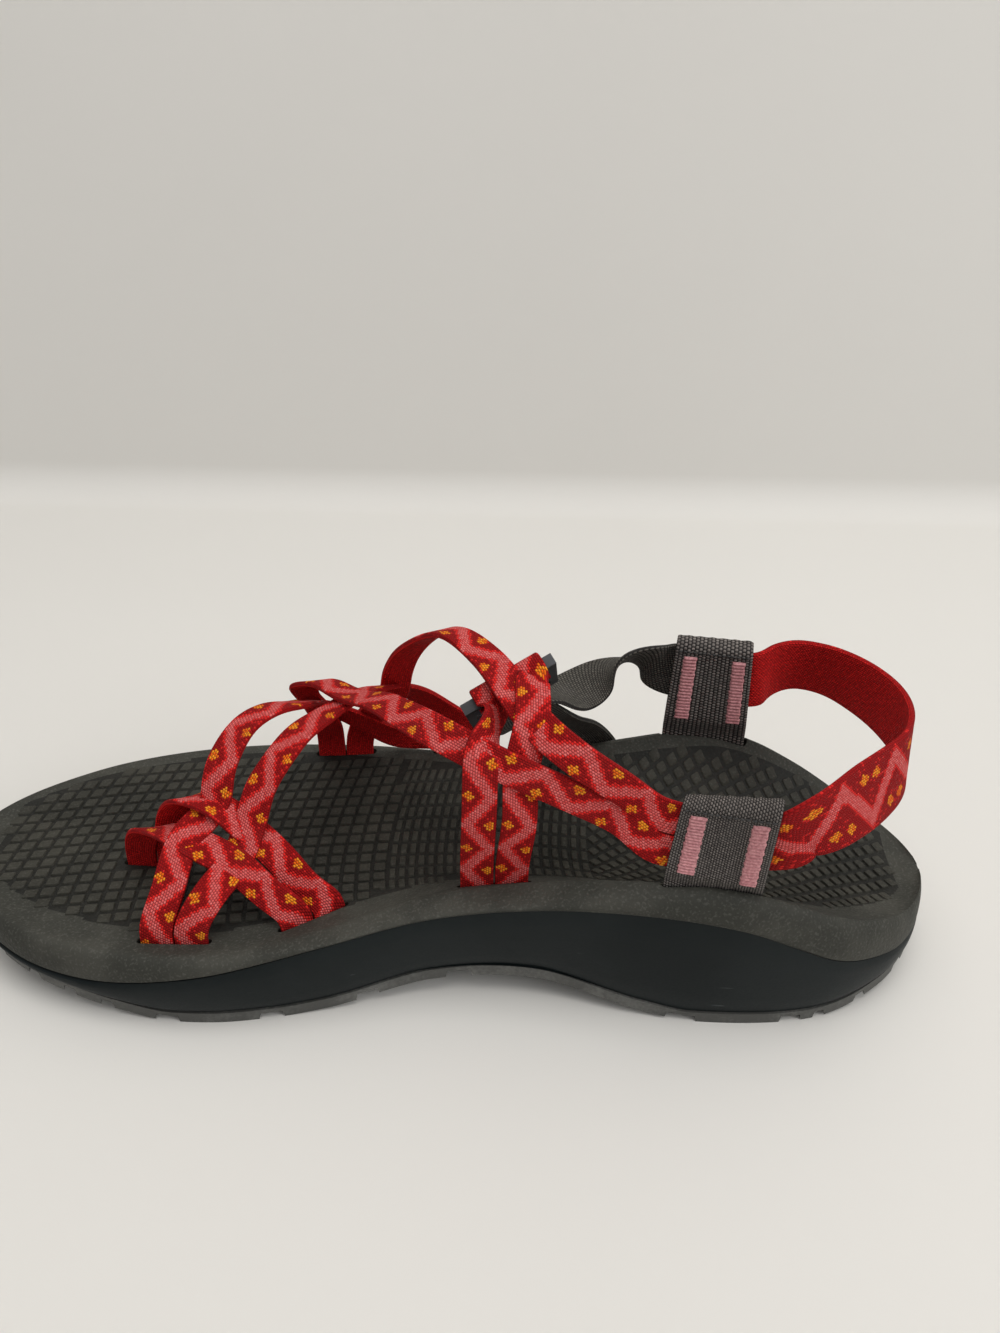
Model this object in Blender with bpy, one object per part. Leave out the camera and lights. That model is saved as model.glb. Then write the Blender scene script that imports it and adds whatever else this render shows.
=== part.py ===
"""A sport sandal, right shoe: a lugged outsole, a midsole, a footbed with a raised rim, an upper of flat
woven straps joined where they cross, two riser loops, an adjusting strap and its ladder buckle.

+X points to the toe, +Y to the medial side (the big toe) and +Z up. Lengths are in metres. A table holds
shares of the named sizes, so a sandal of another size keeps its form.
"""

import math

import bmesh
import bpy
import numpy as np
from mathutils import Matrix, Vector

# Driving sizes of the sandal
LENGTH = 0.272
BALL_WIDTH = 0.096
RIM_HEIGHT = 0.045
INSTEP_HEIGHT = 0.089
TOE_SPRING = 0.012
HEEL_ROLL = 0.008
ARCH_RISE = 0.008
LATERAL_ARCH = 0.4

# Layers of the sole
OUTSOLE_THICK = 0.0034
LUG_DEPTH = 0.002
LUG_SWEEP = 1.04
FOOTBED_THICK = 0.005
MIDSOLE_LEAST = 0.0015
SIDE_FLARE = 0.0012
ARCH_FLARE = 0.0012
SEAM_GAP = 0.0003

# Straps and webbing
STRAP_WIDTH = 0.0088
STRAP_THICK = 0.0015
PAIR_GAP = 0.0003
LAY = 0.38
HEEL_STRAP_WIDTH = 0.019
STRAP_SINK = 0.006
STRAP_REACH = 0.002
WEB_THICK = 0.0012
RISER_WIDTH = 0.0245
ADJUSTER_WIDTH = 0.018
ADJUSTER_THICK = 0.0014
SLOT_CLEAR = 0.00035
SLOT_END = 0.001
SLOT_FLOOR = 0.001
FACET = 0.0045

# Ladder buckle
BUCKLE_WIDTH = 0.0266
BUCKLE_RAIL = 0.0023
BUCKLE_BAR = 0.0026
BUCKLE_SLOT = 0.0042
BUCKLE_THICK = 0.003
BUCKLE_CLEAR = 0.0004
BUCKLE_PLACE = (0.4305, 0.042, 0.916)
BUCKLE_TIP = math.radians(24)
BUCKLE_TURN = math.radians(22)
BUCKLE_HANG = math.radians(50)
LOOP_SIDES = {"arch_toe": -0.0052, "arch_heel": 0.0062}

# Sole sections, heel to toe. along is a share of LENGTH. medial, lateral and inset are shares of
# BALL_WIDTH: the half widths at the rim and how far in the rim's crest lies. arch, spring and roll are
# shares of ARCH_RISE, TOE_SPRING and HEEL_ROLL, which together lift the tread. The belts (top of the
# smooth side), the rims and the bed are shares of RIM_HEIGHT.
SOLE_COLUMNS = (
    "along", "medial", "lateral", "inset", "arch", "spring", "roll",
    "belt_medial", "belt_lateral", "rim_medial", "rim_lateral", "bed",
)
SOLE_ROWS = (
    (0.00, 0.000, 0.000, 0.025, 0.00, 0.00, 1.00, 0.36, 0.36, 0.47, 0.47, 0.47),
    (0.06, 0.306, 0.262, 0.035, 0.00, 0.00, 0.35, 0.37, 0.37, 0.60, 0.62, 0.48),
    (0.12, 0.392, 0.342, 0.040, 0.00, 0.00, 0.06, 0.50, 0.50, 0.76, 0.80, 0.55),
    (0.16, 0.414, 0.364, 0.042, 0.00, 0.00, 0.00, 0.635, 0.62, 0.875, 0.91, 0.58),
    (0.20, 0.423, 0.375, 0.045, 0.00, 0.00, 0.00, 0.75, 0.70, 0.96, 0.98, 0.60),
    (0.25, 0.422, 0.383, 0.054, 0.00, 0.00, 0.00, 0.82, 0.69, 0.99, 0.955, 0.61),
    (0.30, 0.412, 0.390, 0.065, 0.30, 0.00, 0.00, 0.84, 0.64, 0.97, 0.89, 0.61),
    (0.40, 0.375, 0.423, 0.085, 1.00, 0.00, 0.00, 0.77, 0.49, 0.82, 0.71, 0.58),
    (0.50, 0.372, 0.476, 0.075, 0.75, 0.00, 0.00, 0.66, 0.40, 0.71, 0.60, 0.53),
    (0.60, 0.433, 0.520, 0.055, 0.12, 0.00, 0.00, 0.54, 0.36, 0.58, 0.54, 0.46),
    (0.65, 0.463, 0.528, 0.049, 0.00, 0.00, 0.00, 0.475, 0.35, 0.535, 0.52, 0.435),
    (0.70, 0.486, 0.526, 0.045, 0.00, 0.00, 0.00, 0.41, 0.34, 0.50, 0.51, 0.42),
    (0.75, 0.489, 0.510, 0.042, 0.00, 0.00, 0.00, 0.35, 0.325, 0.485, 0.507, 0.415),
    (0.80, 0.476, 0.479, 0.040, 0.00, 0.19, 0.00, 0.30, 0.31, 0.48, 0.51, 0.42),
    (0.88, 0.422, 0.392, 0.038, 0.00, 0.53, 0.00, 0.29, 0.30, 0.49, 0.52, 0.44),
    (0.94, 0.331, 0.283, 0.035, 0.00, 0.79, 0.00, 0.34, 0.34, 0.51, 0.52, 0.46),
    (1.00, 0.000, 0.000, 0.025, 0.00, 1.00, 0.00, 0.43, 0.43, 0.54, 0.54, 0.54),
)
SOLE_STATIONS = 40
SOLE_END = 0.045
BOWL_POWER = 2.6
INTERFACE_POWER = 3.0
BOWL_SHARES = (-0.9, -0.72, -0.45, 0.0, 0.45, 0.72, 0.9)
ROUND_STEPS = (0.0, 28.0, 58.0, 90.0)
ACROSS_SHARES = (0.0, 0.06, 0.2, 0.38, 0.5, 0.62, 0.8, 0.94, 1.0)

# Grooves between the lugs: along and width, shares of LENGTH. GROOVE_ACROSS has the cutter's sections, as
# shares of the sole's half width, and GROOVE_ENDS the stations that a groove stays between.
GROOVE_ACROSS = (-1.15, -0.6, 0.0, 0.6, 1.15)
GROOVE_ENDS = (0.004, 0.996)
GROOVES = (
    (0.045, 0.012), (0.090, 0.012), (0.133, 0.012), (0.172, 0.022), (0.287, 0.030), (0.500, 0.026),
    (0.585, 0.022), (0.678, 0.024), (0.778, 0.024), (0.827, 0.014), (0.866, 0.014), (0.905, 0.014),
    (0.945, 0.012),
)

# Slots in the footbed: along and across are shares of LENGTH and BALL_WIDTH, skew turns the slot from
# the sandal's length, in degrees, and straps is how many lie side by side in it (0 for a riser).
SLOTS = {
    "ball_medial": (0.744, 0.390, 0.0, 2),
    "toe_medial": (0.615, 0.306, 32.0, 2),
    "arch_medial": (0.440, 0.252, 0.0, 2),
    "riser_medial": (0.239, 0.352, 0.0, 0),
    "toe_loop": (0.798, 0.070, 0.0, 2),
    "ball_lateral": (0.629, -0.450, 0.0, 2),
    "arch_lateral": (0.487, -0.428, 0.0, 2),
    "riser_lateral": (0.217, -0.335, -5.0, 0),
}

# Where straps cross: along, across and rise are shares of LENGTH, BALL_WIDTH and INSTEP_HEIGHT.
KNOTS = {
    "ball_toe over loop_front": (0.741, 0.208, 0.461),
    "loop_front over ball_heel": (0.692, 0.250, 0.405),
    "ball_heel over loop_rear": (0.682, 0.167, 0.464),
    "loop_rear over ball_toe": (0.718, 0.135, 0.526),
    "arch_toe over heel_low": (0.4515, 0.252, 0.830),
    "heel_low over arch_heel": (0.416, 0.270, 0.793),
    "arch_heel over heel_high": (0.407, 0.200, 0.922),
    "heel_low over ball_heel": (0.596, -0.146, 0.725),
    "ball_toe over heel_low": (0.645, -0.312, 0.569),
    "ball_heel over heel_high": (0.557, -0.292, 0.657),
    "heel_high over ball_toe": (0.598, -0.400, 0.440),
}

# A strand's rows: a crossing's name or (along, across, rise), then the side it faces in degrees (0 is
# medial, 90 is up and 180 is lateral). It runs from its first slot to its second, and toe or heel says
# which half of that slot it lies in.
STRANDS = {
    "ball_toe": (("ball_medial", "toe"), (
        ((0.750, 0.330, 0.369), 18),
        ("ball_toe over loop_front", 38),
        ("loop_rear over ball_toe", 58),
        ((0.713, 0.083, 0.615), 70),
        ((0.705, 0.026, 0.667), 80),
        ((0.693, -0.026, 0.705), 92),
        ((0.675, -0.088, 0.712), 103),
        ((0.655, -0.170, 0.672), 115),
        ("ball_toe over heel_low", 135),
        ("heel_high over ball_toe", 158),
        ((0.570, -0.437, 0.352), 172),
    ), ("arch_lateral", "toe")),
    "ball_heel": (("ball_medial", "heel"), (
        ((0.706, 0.323, 0.380), 18),
        ("loop_front over ball_heel", 38),
        ("ball_heel over loop_rear", 52),
        ((0.671, 0.115, 0.580), 65),
        ((0.655, 0.063, 0.648), 78),
        ((0.638, -0.010, 0.690), 92),
        ((0.618, -0.083, 0.700), 103),
        ("heel_low over ball_heel", 112),
        ("ball_heel over heel_high", 138),
        ((0.513, -0.417, 0.494), 165),
    ), ("arch_lateral", "heel")),
    "loop_front": (("toe_medial", "toe"), (
        ((0.656, 0.302, 0.340), 28),
        ("loop_front over ball_heel", 52),
        ("ball_toe over loop_front", 78),
        ((0.766, 0.156, 0.437), 100),
        ((0.796, 0.110, 0.388), 135),
    ), ("toe_loop", "toe")),
    "loop_rear": (("toe_medial", "heel"), (
        ((0.623, 0.255, 0.323), 28),
        ((0.650, 0.214, 0.398), 48),
        ("ball_heel over loop_rear", 68),
        ("loop_rear over ball_toe", 88),
        ((0.747, 0.100, 0.516), 112),
        ((0.768, 0.075, 0.440), 155),
    ), ("toe_loop", "heel")),
}


# Risers: the room between the two layers, the top of each at its toe and heel edge, the side it faces, its
# sections from toe to heel, and how far up and how wide its room opens.
STACK = 2.3 * STRAP_THICK
RISER_TOPS = {
    "riser_medial": ((0.272, 0.312, 0.772), (0.198, 0.427, 0.853), 1),
    "riser_lateral": ((0.256, -0.345, 0.855), (0.180, -0.300, 0.862), -1),
}
RISER_COLUMNS = (0.0, 0.25, 0.5, 0.75, 1.0)
RISER_SPREAD = ((0.07, 0.5), (0.16, 1.0), (0.5, 1.0))
FOLD_TURNS = (0, 36, 72, 108, 144, 180)

# The heel strap between the risers: along, across, rise and the lean of its top towards the heel's
# middle, in degrees.
HEEL_STRAP = (
    (0.1746, 0.398, 0.735, -5),
    (0.1496, 0.366, 0.751, 9),
    (0.1199, 0.298, 0.755, 17),
    (0.0895, 0.217, 0.753, 15),
    (0.0640, 0.133, 0.753, 8),
    (0.0500, 0.022, 0.753, 3),
    (0.0510, -0.088, 0.753, 0),
    (0.0605, -0.177, 0.753, 2),
    (0.0770, -0.258, 0.753, 6),
    (0.1020, -0.329, 0.753, 13),
    (0.1324, -0.355, 0.750, 12),
    (0.1581, -0.330, 0.734, 4),
)

# How far up the medial riser the pair of strands lies, and how far out of its middle
PAIR_UP = 0.53
PAIR_LAY = 0.24

# Rows of each strap inside and beside a riser: how far back, from 0 at its toe edge to 1 at its heel edge,
# and how far up. The pair keeps to PAIR_UP.
HEEL_STRAP_MEDIAL = ((0.16, 0.50), (0.55, 0.53), (1.0, 0.575), (1.1, 0.585))
HEEL_STRAP_LATERAL = ((1.12, 0.635), (1.0, 0.62), (0.75, 0.615), (0.2, 0.60))
PAIR_BACKS = (0.26, 0.10, 0.0, -0.1)
ADJUSTER_BACKS = ((0.94, 0.58), (0.75, 0.585), (0.4, 0.60), (0.0, 0.62), (-0.12, 0.63))

# The two strands that leave the medial riser, with the columns of STRANDS.
PAIR = {
    "heel_low": (
        ((0.323, 0.312, 0.672), 4),
        ((0.362, 0.308, 0.737), 8),
        ("heel_low over arch_heel", 12),
        ("arch_toe over heel_low", 22),
        ((0.492, 0.188, 0.855), 42),
        ((0.527, 0.083, 0.834), 60),
        ((0.556, -0.021, 0.801), 80),
        ("heel_low over ball_heel", 100),
        ((0.633, -0.240, 0.712), 112),
        ((0.657, -0.285, 0.655), 128),
        ("ball_toe over heel_low", 146),
    ),
    "heel_high": (
        ((0.329, 0.312, 0.792), 8),
        ((0.370, 0.285, 0.866), 22),
        ("arch_heel over heel_high", 42),
        ((0.428, 0.110, 0.958), 62),
        ((0.453, 0.000, 0.984), 82),
        ((0.489, -0.104, 0.996), 102),
        ((0.529, -0.187, 0.891), 112),
        ((0.551, -0.255, 0.745), 124),
        ("ball_heel over heel_high", 140),
        ("heel_high over ball_toe", 160),
    ),
}
PAIR_END = {"heel_low": "toe", "heel_high": "heel"}

# The two strands that rise from the arch to the buckle's front bar.
ARCH_PAIR = {
    "arch_toe": ("toe", (
        ((0.453, 0.285, 0.669), 0),
        ("arch_toe over heel_low", 12),
    )),
    "arch_heel": ("heel", (
        ((0.416, 0.290, 0.673), 0),
        ("heel_low over arch_heel", 6),
        ("arch_heel over heel_high", 26),
        ((0.408, 0.115, 0.968), 45),
    )),
}

LOOP_TURNS = (30, 65, 100, 135, 170, 205, 240, 275, 305)

# The adjusting strap from the lateral riser to the buckle, and its free tail: along, across, rise and
# facing, with the columns of STRANDS.
ADJUSTER_RUN = (
    ((0.2776, -0.358, 0.732), 160),
    ((0.2919, -0.371, 0.748), 141),
    ((0.3070, -0.378, 0.740), 122),
    ((0.3224, -0.375, 0.712), 105),
    ((0.3375, -0.360, 0.677), 93),
    ((0.3530, -0.333, 0.655), 86),
    ((0.3700, -0.289, 0.654), 84),
    ((0.3870, -0.237, 0.681), 93),
    ((0.4040, -0.180, 0.722), 108),
)
ADJUSTER_TAIL = (
    ((0.385, -0.290, 0.560), 125),
    ((0.366, -0.378, 0.470), 138),
    ((0.345, -0.452, 0.350), 155),
    ((0.322, -0.478, 0.215), 168),
    ((0.302, -0.482, 0.120), 175),
)

# The strap's way through the ladder: along the pull from the third bar in shares of the bars' pitch,
# out from the ladder's middle in shares of the stand-off, and the turn of its outer face in degrees.
LADDER_WEAVE = (
    (1.60, -1.40, 0), (1.05, -1.10, 0), (0.79, -1.00, 10), (0.62, -0.68, 50), (0.50, 0.00, 65),
    (0.38, 0.68, 50), (0.20, 1.00, 15), (0.00, 1.00, 0), (-0.20, 1.00, -15), (-0.38, 0.68, -50),
    (-0.50, 0.00, -90), (-0.43, -0.72, -125), (-0.26, -1.10, -160), (0.00, -1.24, -180),
    (0.32, -1.40, -190), (0.66, -1.76, -188), (1.05, -1.84, -180),
)

# Colour and roughness of each piece
FINISHES = {
    "outsole": ((0.098, 0.098, 0.092), 0.75),
    "midsole": ((0.020, 0.027, 0.029), 0.55),
    "footbed": ((0.048, 0.048, 0.040), 0.8),
    "upper": ((0.42, 0.03, 0.035), 0.85),
    "riser_medial": ((0.11, 0.10, 0.09), 0.9),
    "riser_lateral": ((0.11, 0.10, 0.09), 0.9),
    "adjuster_strap": ((0.11, 0.10, 0.09), 0.9),
    "buckle": ((0.06, 0.063, 0.067), 0.45),
}


def table(columns, rows):
    """A column's name to its values."""
    return dict(zip(columns, np.array(rows, float).T))


def smooth(keys, values, at):
    """Cubic curve through the rows, with the slope at each row taken from its neighbours."""
    keys = np.asarray(keys, float)
    values = np.asarray(values, float)
    slopes = np.gradient(values, keys, axis=0)
    spans = np.clip(np.searchsorted(keys, at, side="right") - 1, 0, len(keys) - 2)
    width = keys[spans + 1] - keys[spans]
    t = (at - keys[spans]) / width
    if values.ndim > 1:
        width = np.expand_dims(width, -1)
        t = np.expand_dims(t, -1)
    return (
        (2 * t**3 - 3 * t**2 + 1) * values[spans]
        + (t**3 - 2 * t**2 + t) * width * slopes[spans]
        + (3 * t**2 - 2 * t**3) * values[spans + 1]
        + (t**3 - t**2) * width * slopes[spans + 1]
    )


SOLE = table(SOLE_COLUMNS, SOLE_ROWS)


def sweep_angle(along):
    """An angle that runs evenly round the outline, so that its ends come out round."""
    return np.arccos(1 - 2 * np.clip(along, 0, 1))


def sole(column, along):
    return float(smooth(sweep_angle(SOLE["along"]), SOLE[column], sweep_angle(along)))


def x_at(along):
    return (along - 0.5) * LENGTH


def along_at(x):
    return x / LENGTH + 0.5


def tread_lift(along):
    """Height of the tread at the medial and at the lateral edge."""
    ends = sole("spring", along) * TOE_SPRING + sole("roll", along) * HEEL_ROLL
    arch = sole("arch", along) * ARCH_RISE
    return max(0.0, ends + arch), max(0.0, ends + LATERAL_ARCH * arch)


class Section:
    """The sole's cross section at one station: edges, heights and the surfaces between them."""

    def __init__(self, along):
        self.x = x_at(along)
        self.medial = sole("medial", along) * BALL_WIDTH
        self.lateral = -sole("lateral", along) * BALL_WIDTH
        half = (self.medial - self.lateral) / 2
        flare = SIDE_FLARE + max(0.0, sole("arch", along)) * ARCH_FLARE
        flare = min(flare, 0.2 * half)
        inset = min(sole("inset", along) * BALL_WIDTH, 0.35 * half)
        self.foot_medial = self.medial - flare
        self.foot_lateral = self.lateral + flare
        self.crest_medial = self.medial - inset
        self.crest_lateral = self.lateral + inset
        self.tread_medial, self.tread_lateral = tread_lift(along)
        self.belt_medial = sole("belt_medial", along) * RIM_HEIGHT
        self.belt_lateral = sole("belt_lateral", along) * RIM_HEIGHT
        self.rim_medial = sole("rim_medial", along) * RIM_HEIGHT
        self.rim_lateral = sole("rim_lateral", along) * RIM_HEIGHT
        self.bed = sole("bed", along) * RIM_HEIGHT

    def tread(self, y):
        share = (y - self.foot_lateral) / (self.foot_medial - self.foot_lateral)
        return self.tread_lateral + share * (self.tread_medial - self.tread_lateral)

    def across(self, y, lateral, medial):
        """0 at the middle of the two edges, 1 at the medial one and -1 at the lateral one."""
        return (2 * y - medial - lateral) / (medial - lateral)

    def bowl(self, y):
        """Top of the footbed between the crests of its rim."""
        share = self.across(y, self.crest_lateral, self.crest_medial)
        rim = self.rim_medial if share > 0 else self.rim_lateral
        return self.bed + (rim - self.bed) * min(1.0, abs(share)) ** BOWL_POWER

    def interface(self, y):
        """The surface where footbed and midsole meet: the belts outside, under the bed inside."""
        share = self.across(y, self.lateral, self.medial)
        belt = self.belt_medial if share > 0 else self.belt_lateral
        ground = max(self.tread_medial, self.tread_lateral) + OUTSOLE_THICK + SEAM_GAP
        low = max(self.bed - FOOTBED_THICK, ground + MIDSOLE_LEAST)
        return low + (belt - low) * min(1.0, abs(share)) ** INTERFACE_POWER


def stations():
    for angle in np.linspace(SOLE_END, math.pi - SOLE_END, SOLE_STATIONS):
        yield (1 - math.cos(angle)) / 2


def bed_height(x, y):
    """Top of the footbed at a place, for what stands in its slots."""
    return Section(along_at(x)).bowl(y)


def add_object(name, mesh_source, collection):
    mesh = bpy.data.meshes.new(name)
    bmesh.ops.recalc_face_normals(mesh_source, faces=mesh_source.faces)
    mesh_source.to_mesh(mesh)
    mesh_source.free()
    made = bpy.data.objects.new(name, mesh)
    collection.objects.link(made)
    return made


def loft(name, loops, collection, other_way=()):
    """A closed solid through loops of equally many points, its two ends closed.

    Each quad is split into two triangles, along its other diagonal where other_way has its edge's number.
    """
    mesh = bmesh.new()
    rings = [[mesh.verts.new(point) for point in loop] for loop in loops]
    for ring, following in zip(rings, rings[1:]):
        for i, corner in enumerate(ring):
            j = (i + 1) % len(ring)
            if i in other_way:
                mesh.faces.new((corner, ring[j], following[i]))
                mesh.faces.new((ring[j], following[j], following[i]))
            else:
                mesh.faces.new((corner, ring[j], following[j]))
                mesh.faces.new((corner, following[j], following[i]))
    mesh.faces.new(rings[0])
    mesh.faces.new(reversed(rings[-1]))
    return add_object(name, mesh, collection)


def between(low, high, shares):
    return [low + share * (high - low) for share in shares]


def outsole_loop(along):
    s = Section(along)
    ys = between(s.foot_lateral, s.foot_medial, ACROSS_SHARES)
    low = [Vector((s.x, y, s.tread(y))) for y in ys]
    high = [Vector((s.x, y, s.tread(y) + OUTSOLE_THICK)) for y in reversed(ys)]
    return low + high


def midsole_loop(along):
    s = Section(along)
    foot = between(s.foot_lateral, s.foot_medial, ACROSS_SHARES)
    belt = between(s.lateral, s.medial, ACROSS_SHARES)
    low = [Vector((s.x, y, s.tread(y) + OUTSOLE_THICK + SEAM_GAP)) for y in reversed(foot)]
    high = [Vector((s.x, y, s.interface(y) - SEAM_GAP / 2)) for y in belt]
    return low + high


def rim_round(crest, rim, edge, belt):
    """Points of the rounded rim, from its crest out to the belt."""
    points = []
    for step in ROUND_STEPS:
        turn = math.radians(step)
        out = crest + (edge - crest) * math.sin(turn)
        points.append((out, belt + (rim - belt) * math.cos(turn)))
    return points


def footbed_loop(along):
    s = Section(along)
    belt = between(s.lateral, s.medial, ACROSS_SHARES)
    lift = SEAM_GAP / 2
    low = [Vector((s.x, y, s.interface(y) + lift)) for y in belt[1:-1]]
    medial = rim_round(s.crest_medial, s.rim_medial, s.medial, s.belt_medial + lift)
    lateral = rim_round(s.crest_lateral, s.rim_lateral, s.lateral, s.belt_lateral + lift)
    middle = (s.crest_medial + s.crest_lateral) / 2
    half = (s.crest_medial - s.crest_lateral) / 2
    bowl = [(middle + share * half, s.bowl(middle + share * half)) for share in reversed(BOWL_SHARES)]
    profile = list(reversed(medial)) + bowl + lateral
    return low + [Vector((s.x, y, z)) for y, z in profile]


def groove_cutter(name, along, width, collection):
    """A bar across the tread that follows its height, swept back towards the edges."""
    loops = []
    for share in GROOVE_ACROSS:
        centre = along - LUG_SWEEP * width * abs(share)
        corners = []
        for edge in (centre - width / 2, centre + width / 2):
            s = Section(min(max(edge, GROOVE_ENDS[0]), GROOVE_ENDS[1]))
            here = Section(along)
            middle = (here.foot_medial + here.foot_lateral) / 2
            y = middle + share * (here.foot_medial - here.foot_lateral) / 2
            top = s.tread(min(max(y, s.foot_lateral), s.foot_medial)) + LUG_DEPTH
            corners.append((x_at(edge), y, top))
        (x0, y0, z0), (x1, y1, z1) = corners
        floor = -LUG_DEPTH
        loops.append([Vector(p) for p in ((x0, y0, floor), (x1, y1, floor), (x1, y1, z1), (x0, y0, z0))])
    cutter = loft(name, loops, collection)
    return as_cutter(cutter)


def as_cutter(made):
    made.hide_render = True
    made.display_type = "WIRE"
    return made


def cut(target, cutters):
    for cutter in cutters:
        modifier = target.modifiers.new(cutter.name, "BOOLEAN")
        modifier.operation = "DIFFERENCE"
        modifier.solver = "EXACT"
        modifier.object = cutter


def slot_place(name):
    """Middle of a slot, its direction towards the toe, and its clear length and width."""
    along, across, skew, straps = SLOTS[name]
    centre = Vector((x_at(along), across * BALL_WIDTH, 0))
    turn = math.radians(skew)
    towards_toe = Vector((math.cos(turn), math.sin(turn), 0))
    if straps:
        length = straps * STRAP_WIDTH + (straps - 1) * PAIR_GAP
        width = STRAP_THICK
    else:
        length = RISER_WIDTH
        width = 2 * WEB_THICK + SEAM_GAP
    return centre, towards_toe, length + 2 * SLOT_END, width + 2 * SLOT_CLEAR


def slot_bottom(name):
    centre, direction, length, width = slot_place(name)
    heights = [bed_height(*(centre + direction * length / 2 * side).xy) for side in (-1, 0, 1)]
    return min(heights) - STRAP_SINK - SLOT_FLOOR


def slot_cutter(name, collection):
    centre, direction, length, width = slot_place(name)
    mesh = bmesh.new()
    bmesh.ops.create_cube(mesh, size=1)
    low = slot_bottom(name)
    high = 2 * RIM_HEIGHT
    sizes = Matrix.Diagonal((length, width, high - low, 1))
    turn = Matrix.Rotation(math.atan2(direction.y, direction.x), 4, "Z")
    place = Matrix.Translation((centre.x, centre.y, (high + low) / 2))
    bmesh.ops.transform(mesh, matrix=place @ turn @ sizes, verts=mesh.verts)
    return as_cutter(add_object("slot_" + name, mesh, collection))


def point(place):
    along, across, rise = place
    return Vector((x_at(along), across * BALL_WIDTH, rise * INSTEP_HEIGHT))


def facing(degrees, skew=0.0):
    """Outward direction of a strap: 0 looks medial, 90 up and 180 lateral, turned by the slot's skew."""
    lean = math.radians(degrees)
    out = Vector((0, math.cos(lean), math.sin(lean)))
    return Matrix.Rotation(math.radians(skew), 3, "Z") @ out


def slot_rows(slot, half, lean):
    """A strap's straight end in its slot, from the end up: places and facing directions."""
    centre, direction, length, width = slot_place(slot)
    skew = SLOTS[slot][2]
    side = (STRAP_WIDTH + PAIR_GAP) / 2 * (1 if half == "toe" else -1)
    foot = centre + direction * side
    top = bed_height(foot.x, foot.y)
    out = facing(lean, skew)
    depth = slot_bottom(slot) + SLOT_FLOOR
    return [(Vector((foot.x, foot.y, z)), out) for z in (depth, (depth + top) / 2, top, top + STRAP_REACH)]


def lay_of(strand, place):
    """How far out of its crossing a strap's middle lies, in strap thicknesses."""
    if not isinstance(place, str):
        return 0.0
    return LAY if place.split(" over ")[0] == strand else -LAY


def strand_rows(name, rows):
    made = []
    for place, lean in rows:
        where = point(KNOTS[place]) if isinstance(place, str) else point(place)
        out = facing(lean)
        made.append((where + out * lay_of(name, place) * STRAP_THICK, out))
    return made


def ribbon(name, rows, width, thick, collection):
    """A flat strap through the rows, each a place and the direction that its outer face looks."""
    places = np.array([row[0] for row in rows])
    outs = np.array([row[1] for row in rows])
    steps = np.linalg.norm(np.diff(places, axis=0), axis=1)
    keys = np.concatenate([[0], np.cumsum(steps)])
    samples = []
    for start, end in zip(keys, keys[1:]):
        count = max(1, math.ceil((end - start) / FACET - 0.2))
        samples += [start + (end - start) * i / count for i in range(count)]
    samples.append(keys[-1])
    samples = np.array(samples)
    centres = smooth(keys, places, samples)
    directions = np.gradient(centres, samples, axis=0)
    outward = smooth(keys, outs, samples)
    loops = []
    for centre, direction, out in zip(centres, directions, outward):
        along = Vector(direction).normalized()
        out = Vector(out)
        out = (out - along * out.dot(along)).normalized()
        side = along.cross(out) * width / 2
        out *= thick / 2
        centre = Vector(centre)
        loops.append([centre - side - out, centre + side - out, centre + side + out, centre - side + out])
    # both broad faces share one diagonal, so that they stay apart where the strap twists
    return loft(name, loops, collection, other_way=(2,))


class Riser:
    """The webbing loop at one side of the heel: a surface from its slot up to its fold."""

    def __init__(self, slot, toe_top, heel_top, outer):
        centre, direction, length, width = slot_place(slot)
        half = direction * RISER_WIDTH / 2
        self.feet = [centre + half, centre - half]
        for foot in self.feet:
            foot.z = bed_height(foot.x, foot.y) + STRAP_REACH
        self.tops = [point(toe_top), point(heel_top)]
        self.slot = slot
        self.outer = Vector((0, outer, 0))

    def at(self, back, up):
        """back is 0 at the toe edge and 1 at the heel edge, up is 0 at the slot and 1 at the fold."""
        foot = self.feet[0].lerp(self.feet[1], back)
        top = self.tops[0].lerp(self.tops[1], back)
        return foot.lerp(top, up)

    def out(self, back):
        """Outward direction of the surface."""
        across = self.at(1, 0.6) - self.at(0, 0.6)
        rise = self.at(back, 1) - self.at(back, 0)
        normal = across.cross(rise).normalized()
        return normal if normal.dot(self.outer) > 0 else -normal

    def layer(self, back, up, shift):
        """A place beside the riser's middle surface, where one of two layers lies, and its direction."""
        out = self.out(back)
        return self.at(back, up) + out * shift, out

    def solid(self, name, collection):
        """Two layers of webbing, joined by the fold at the top, with room for the straps between."""
        room = STACK / 2 + SEAM_GAP
        loops = []
        for back in RISER_COLUMNS:
            foot = self.at(back, 0)
            top = self.at(back, 1)
            rise = (top - foot).normalized()
            height = (top - foot).length
            out = self.out(back)
            sink = Vector((0, 0, slot_bottom(self.slot) + SLOT_FLOOR - foot.z))
            inner = [(foot + sink, SEAM_GAP / 2), (foot, SEAM_GAP / 2)]
            inner += [(foot + rise * height * up, room * share) for up, share in RISER_SPREAD]
            inner_side = [place + out * half for place, half in inner]
            outer_side = [place + out * (half + WEB_THICK) for place, half in inner]
            far_inner = [place - out * half for place, half in inner]
            far_outer = [place - out * (half + WEB_THICK) for place, half in inner]
            fold = top - rise * (room + WEB_THICK)
            turns = [math.radians(a) for a in FOLD_TURNS]
            arc_out = [fold + (out * math.cos(a) + rise * math.sin(a)) * (room + WEB_THICK) for a in turns]
            arc_in = [fold + (out * math.cos(a) + rise * math.sin(a)) * room for a in turns]
            outside = outer_side + arc_out + list(reversed(far_outer))
            inside = inner_side + arc_in + list(reversed(far_inner))
            loops.append(outside + list(reversed(inside)))
        return loft(name, loops, collection)


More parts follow.
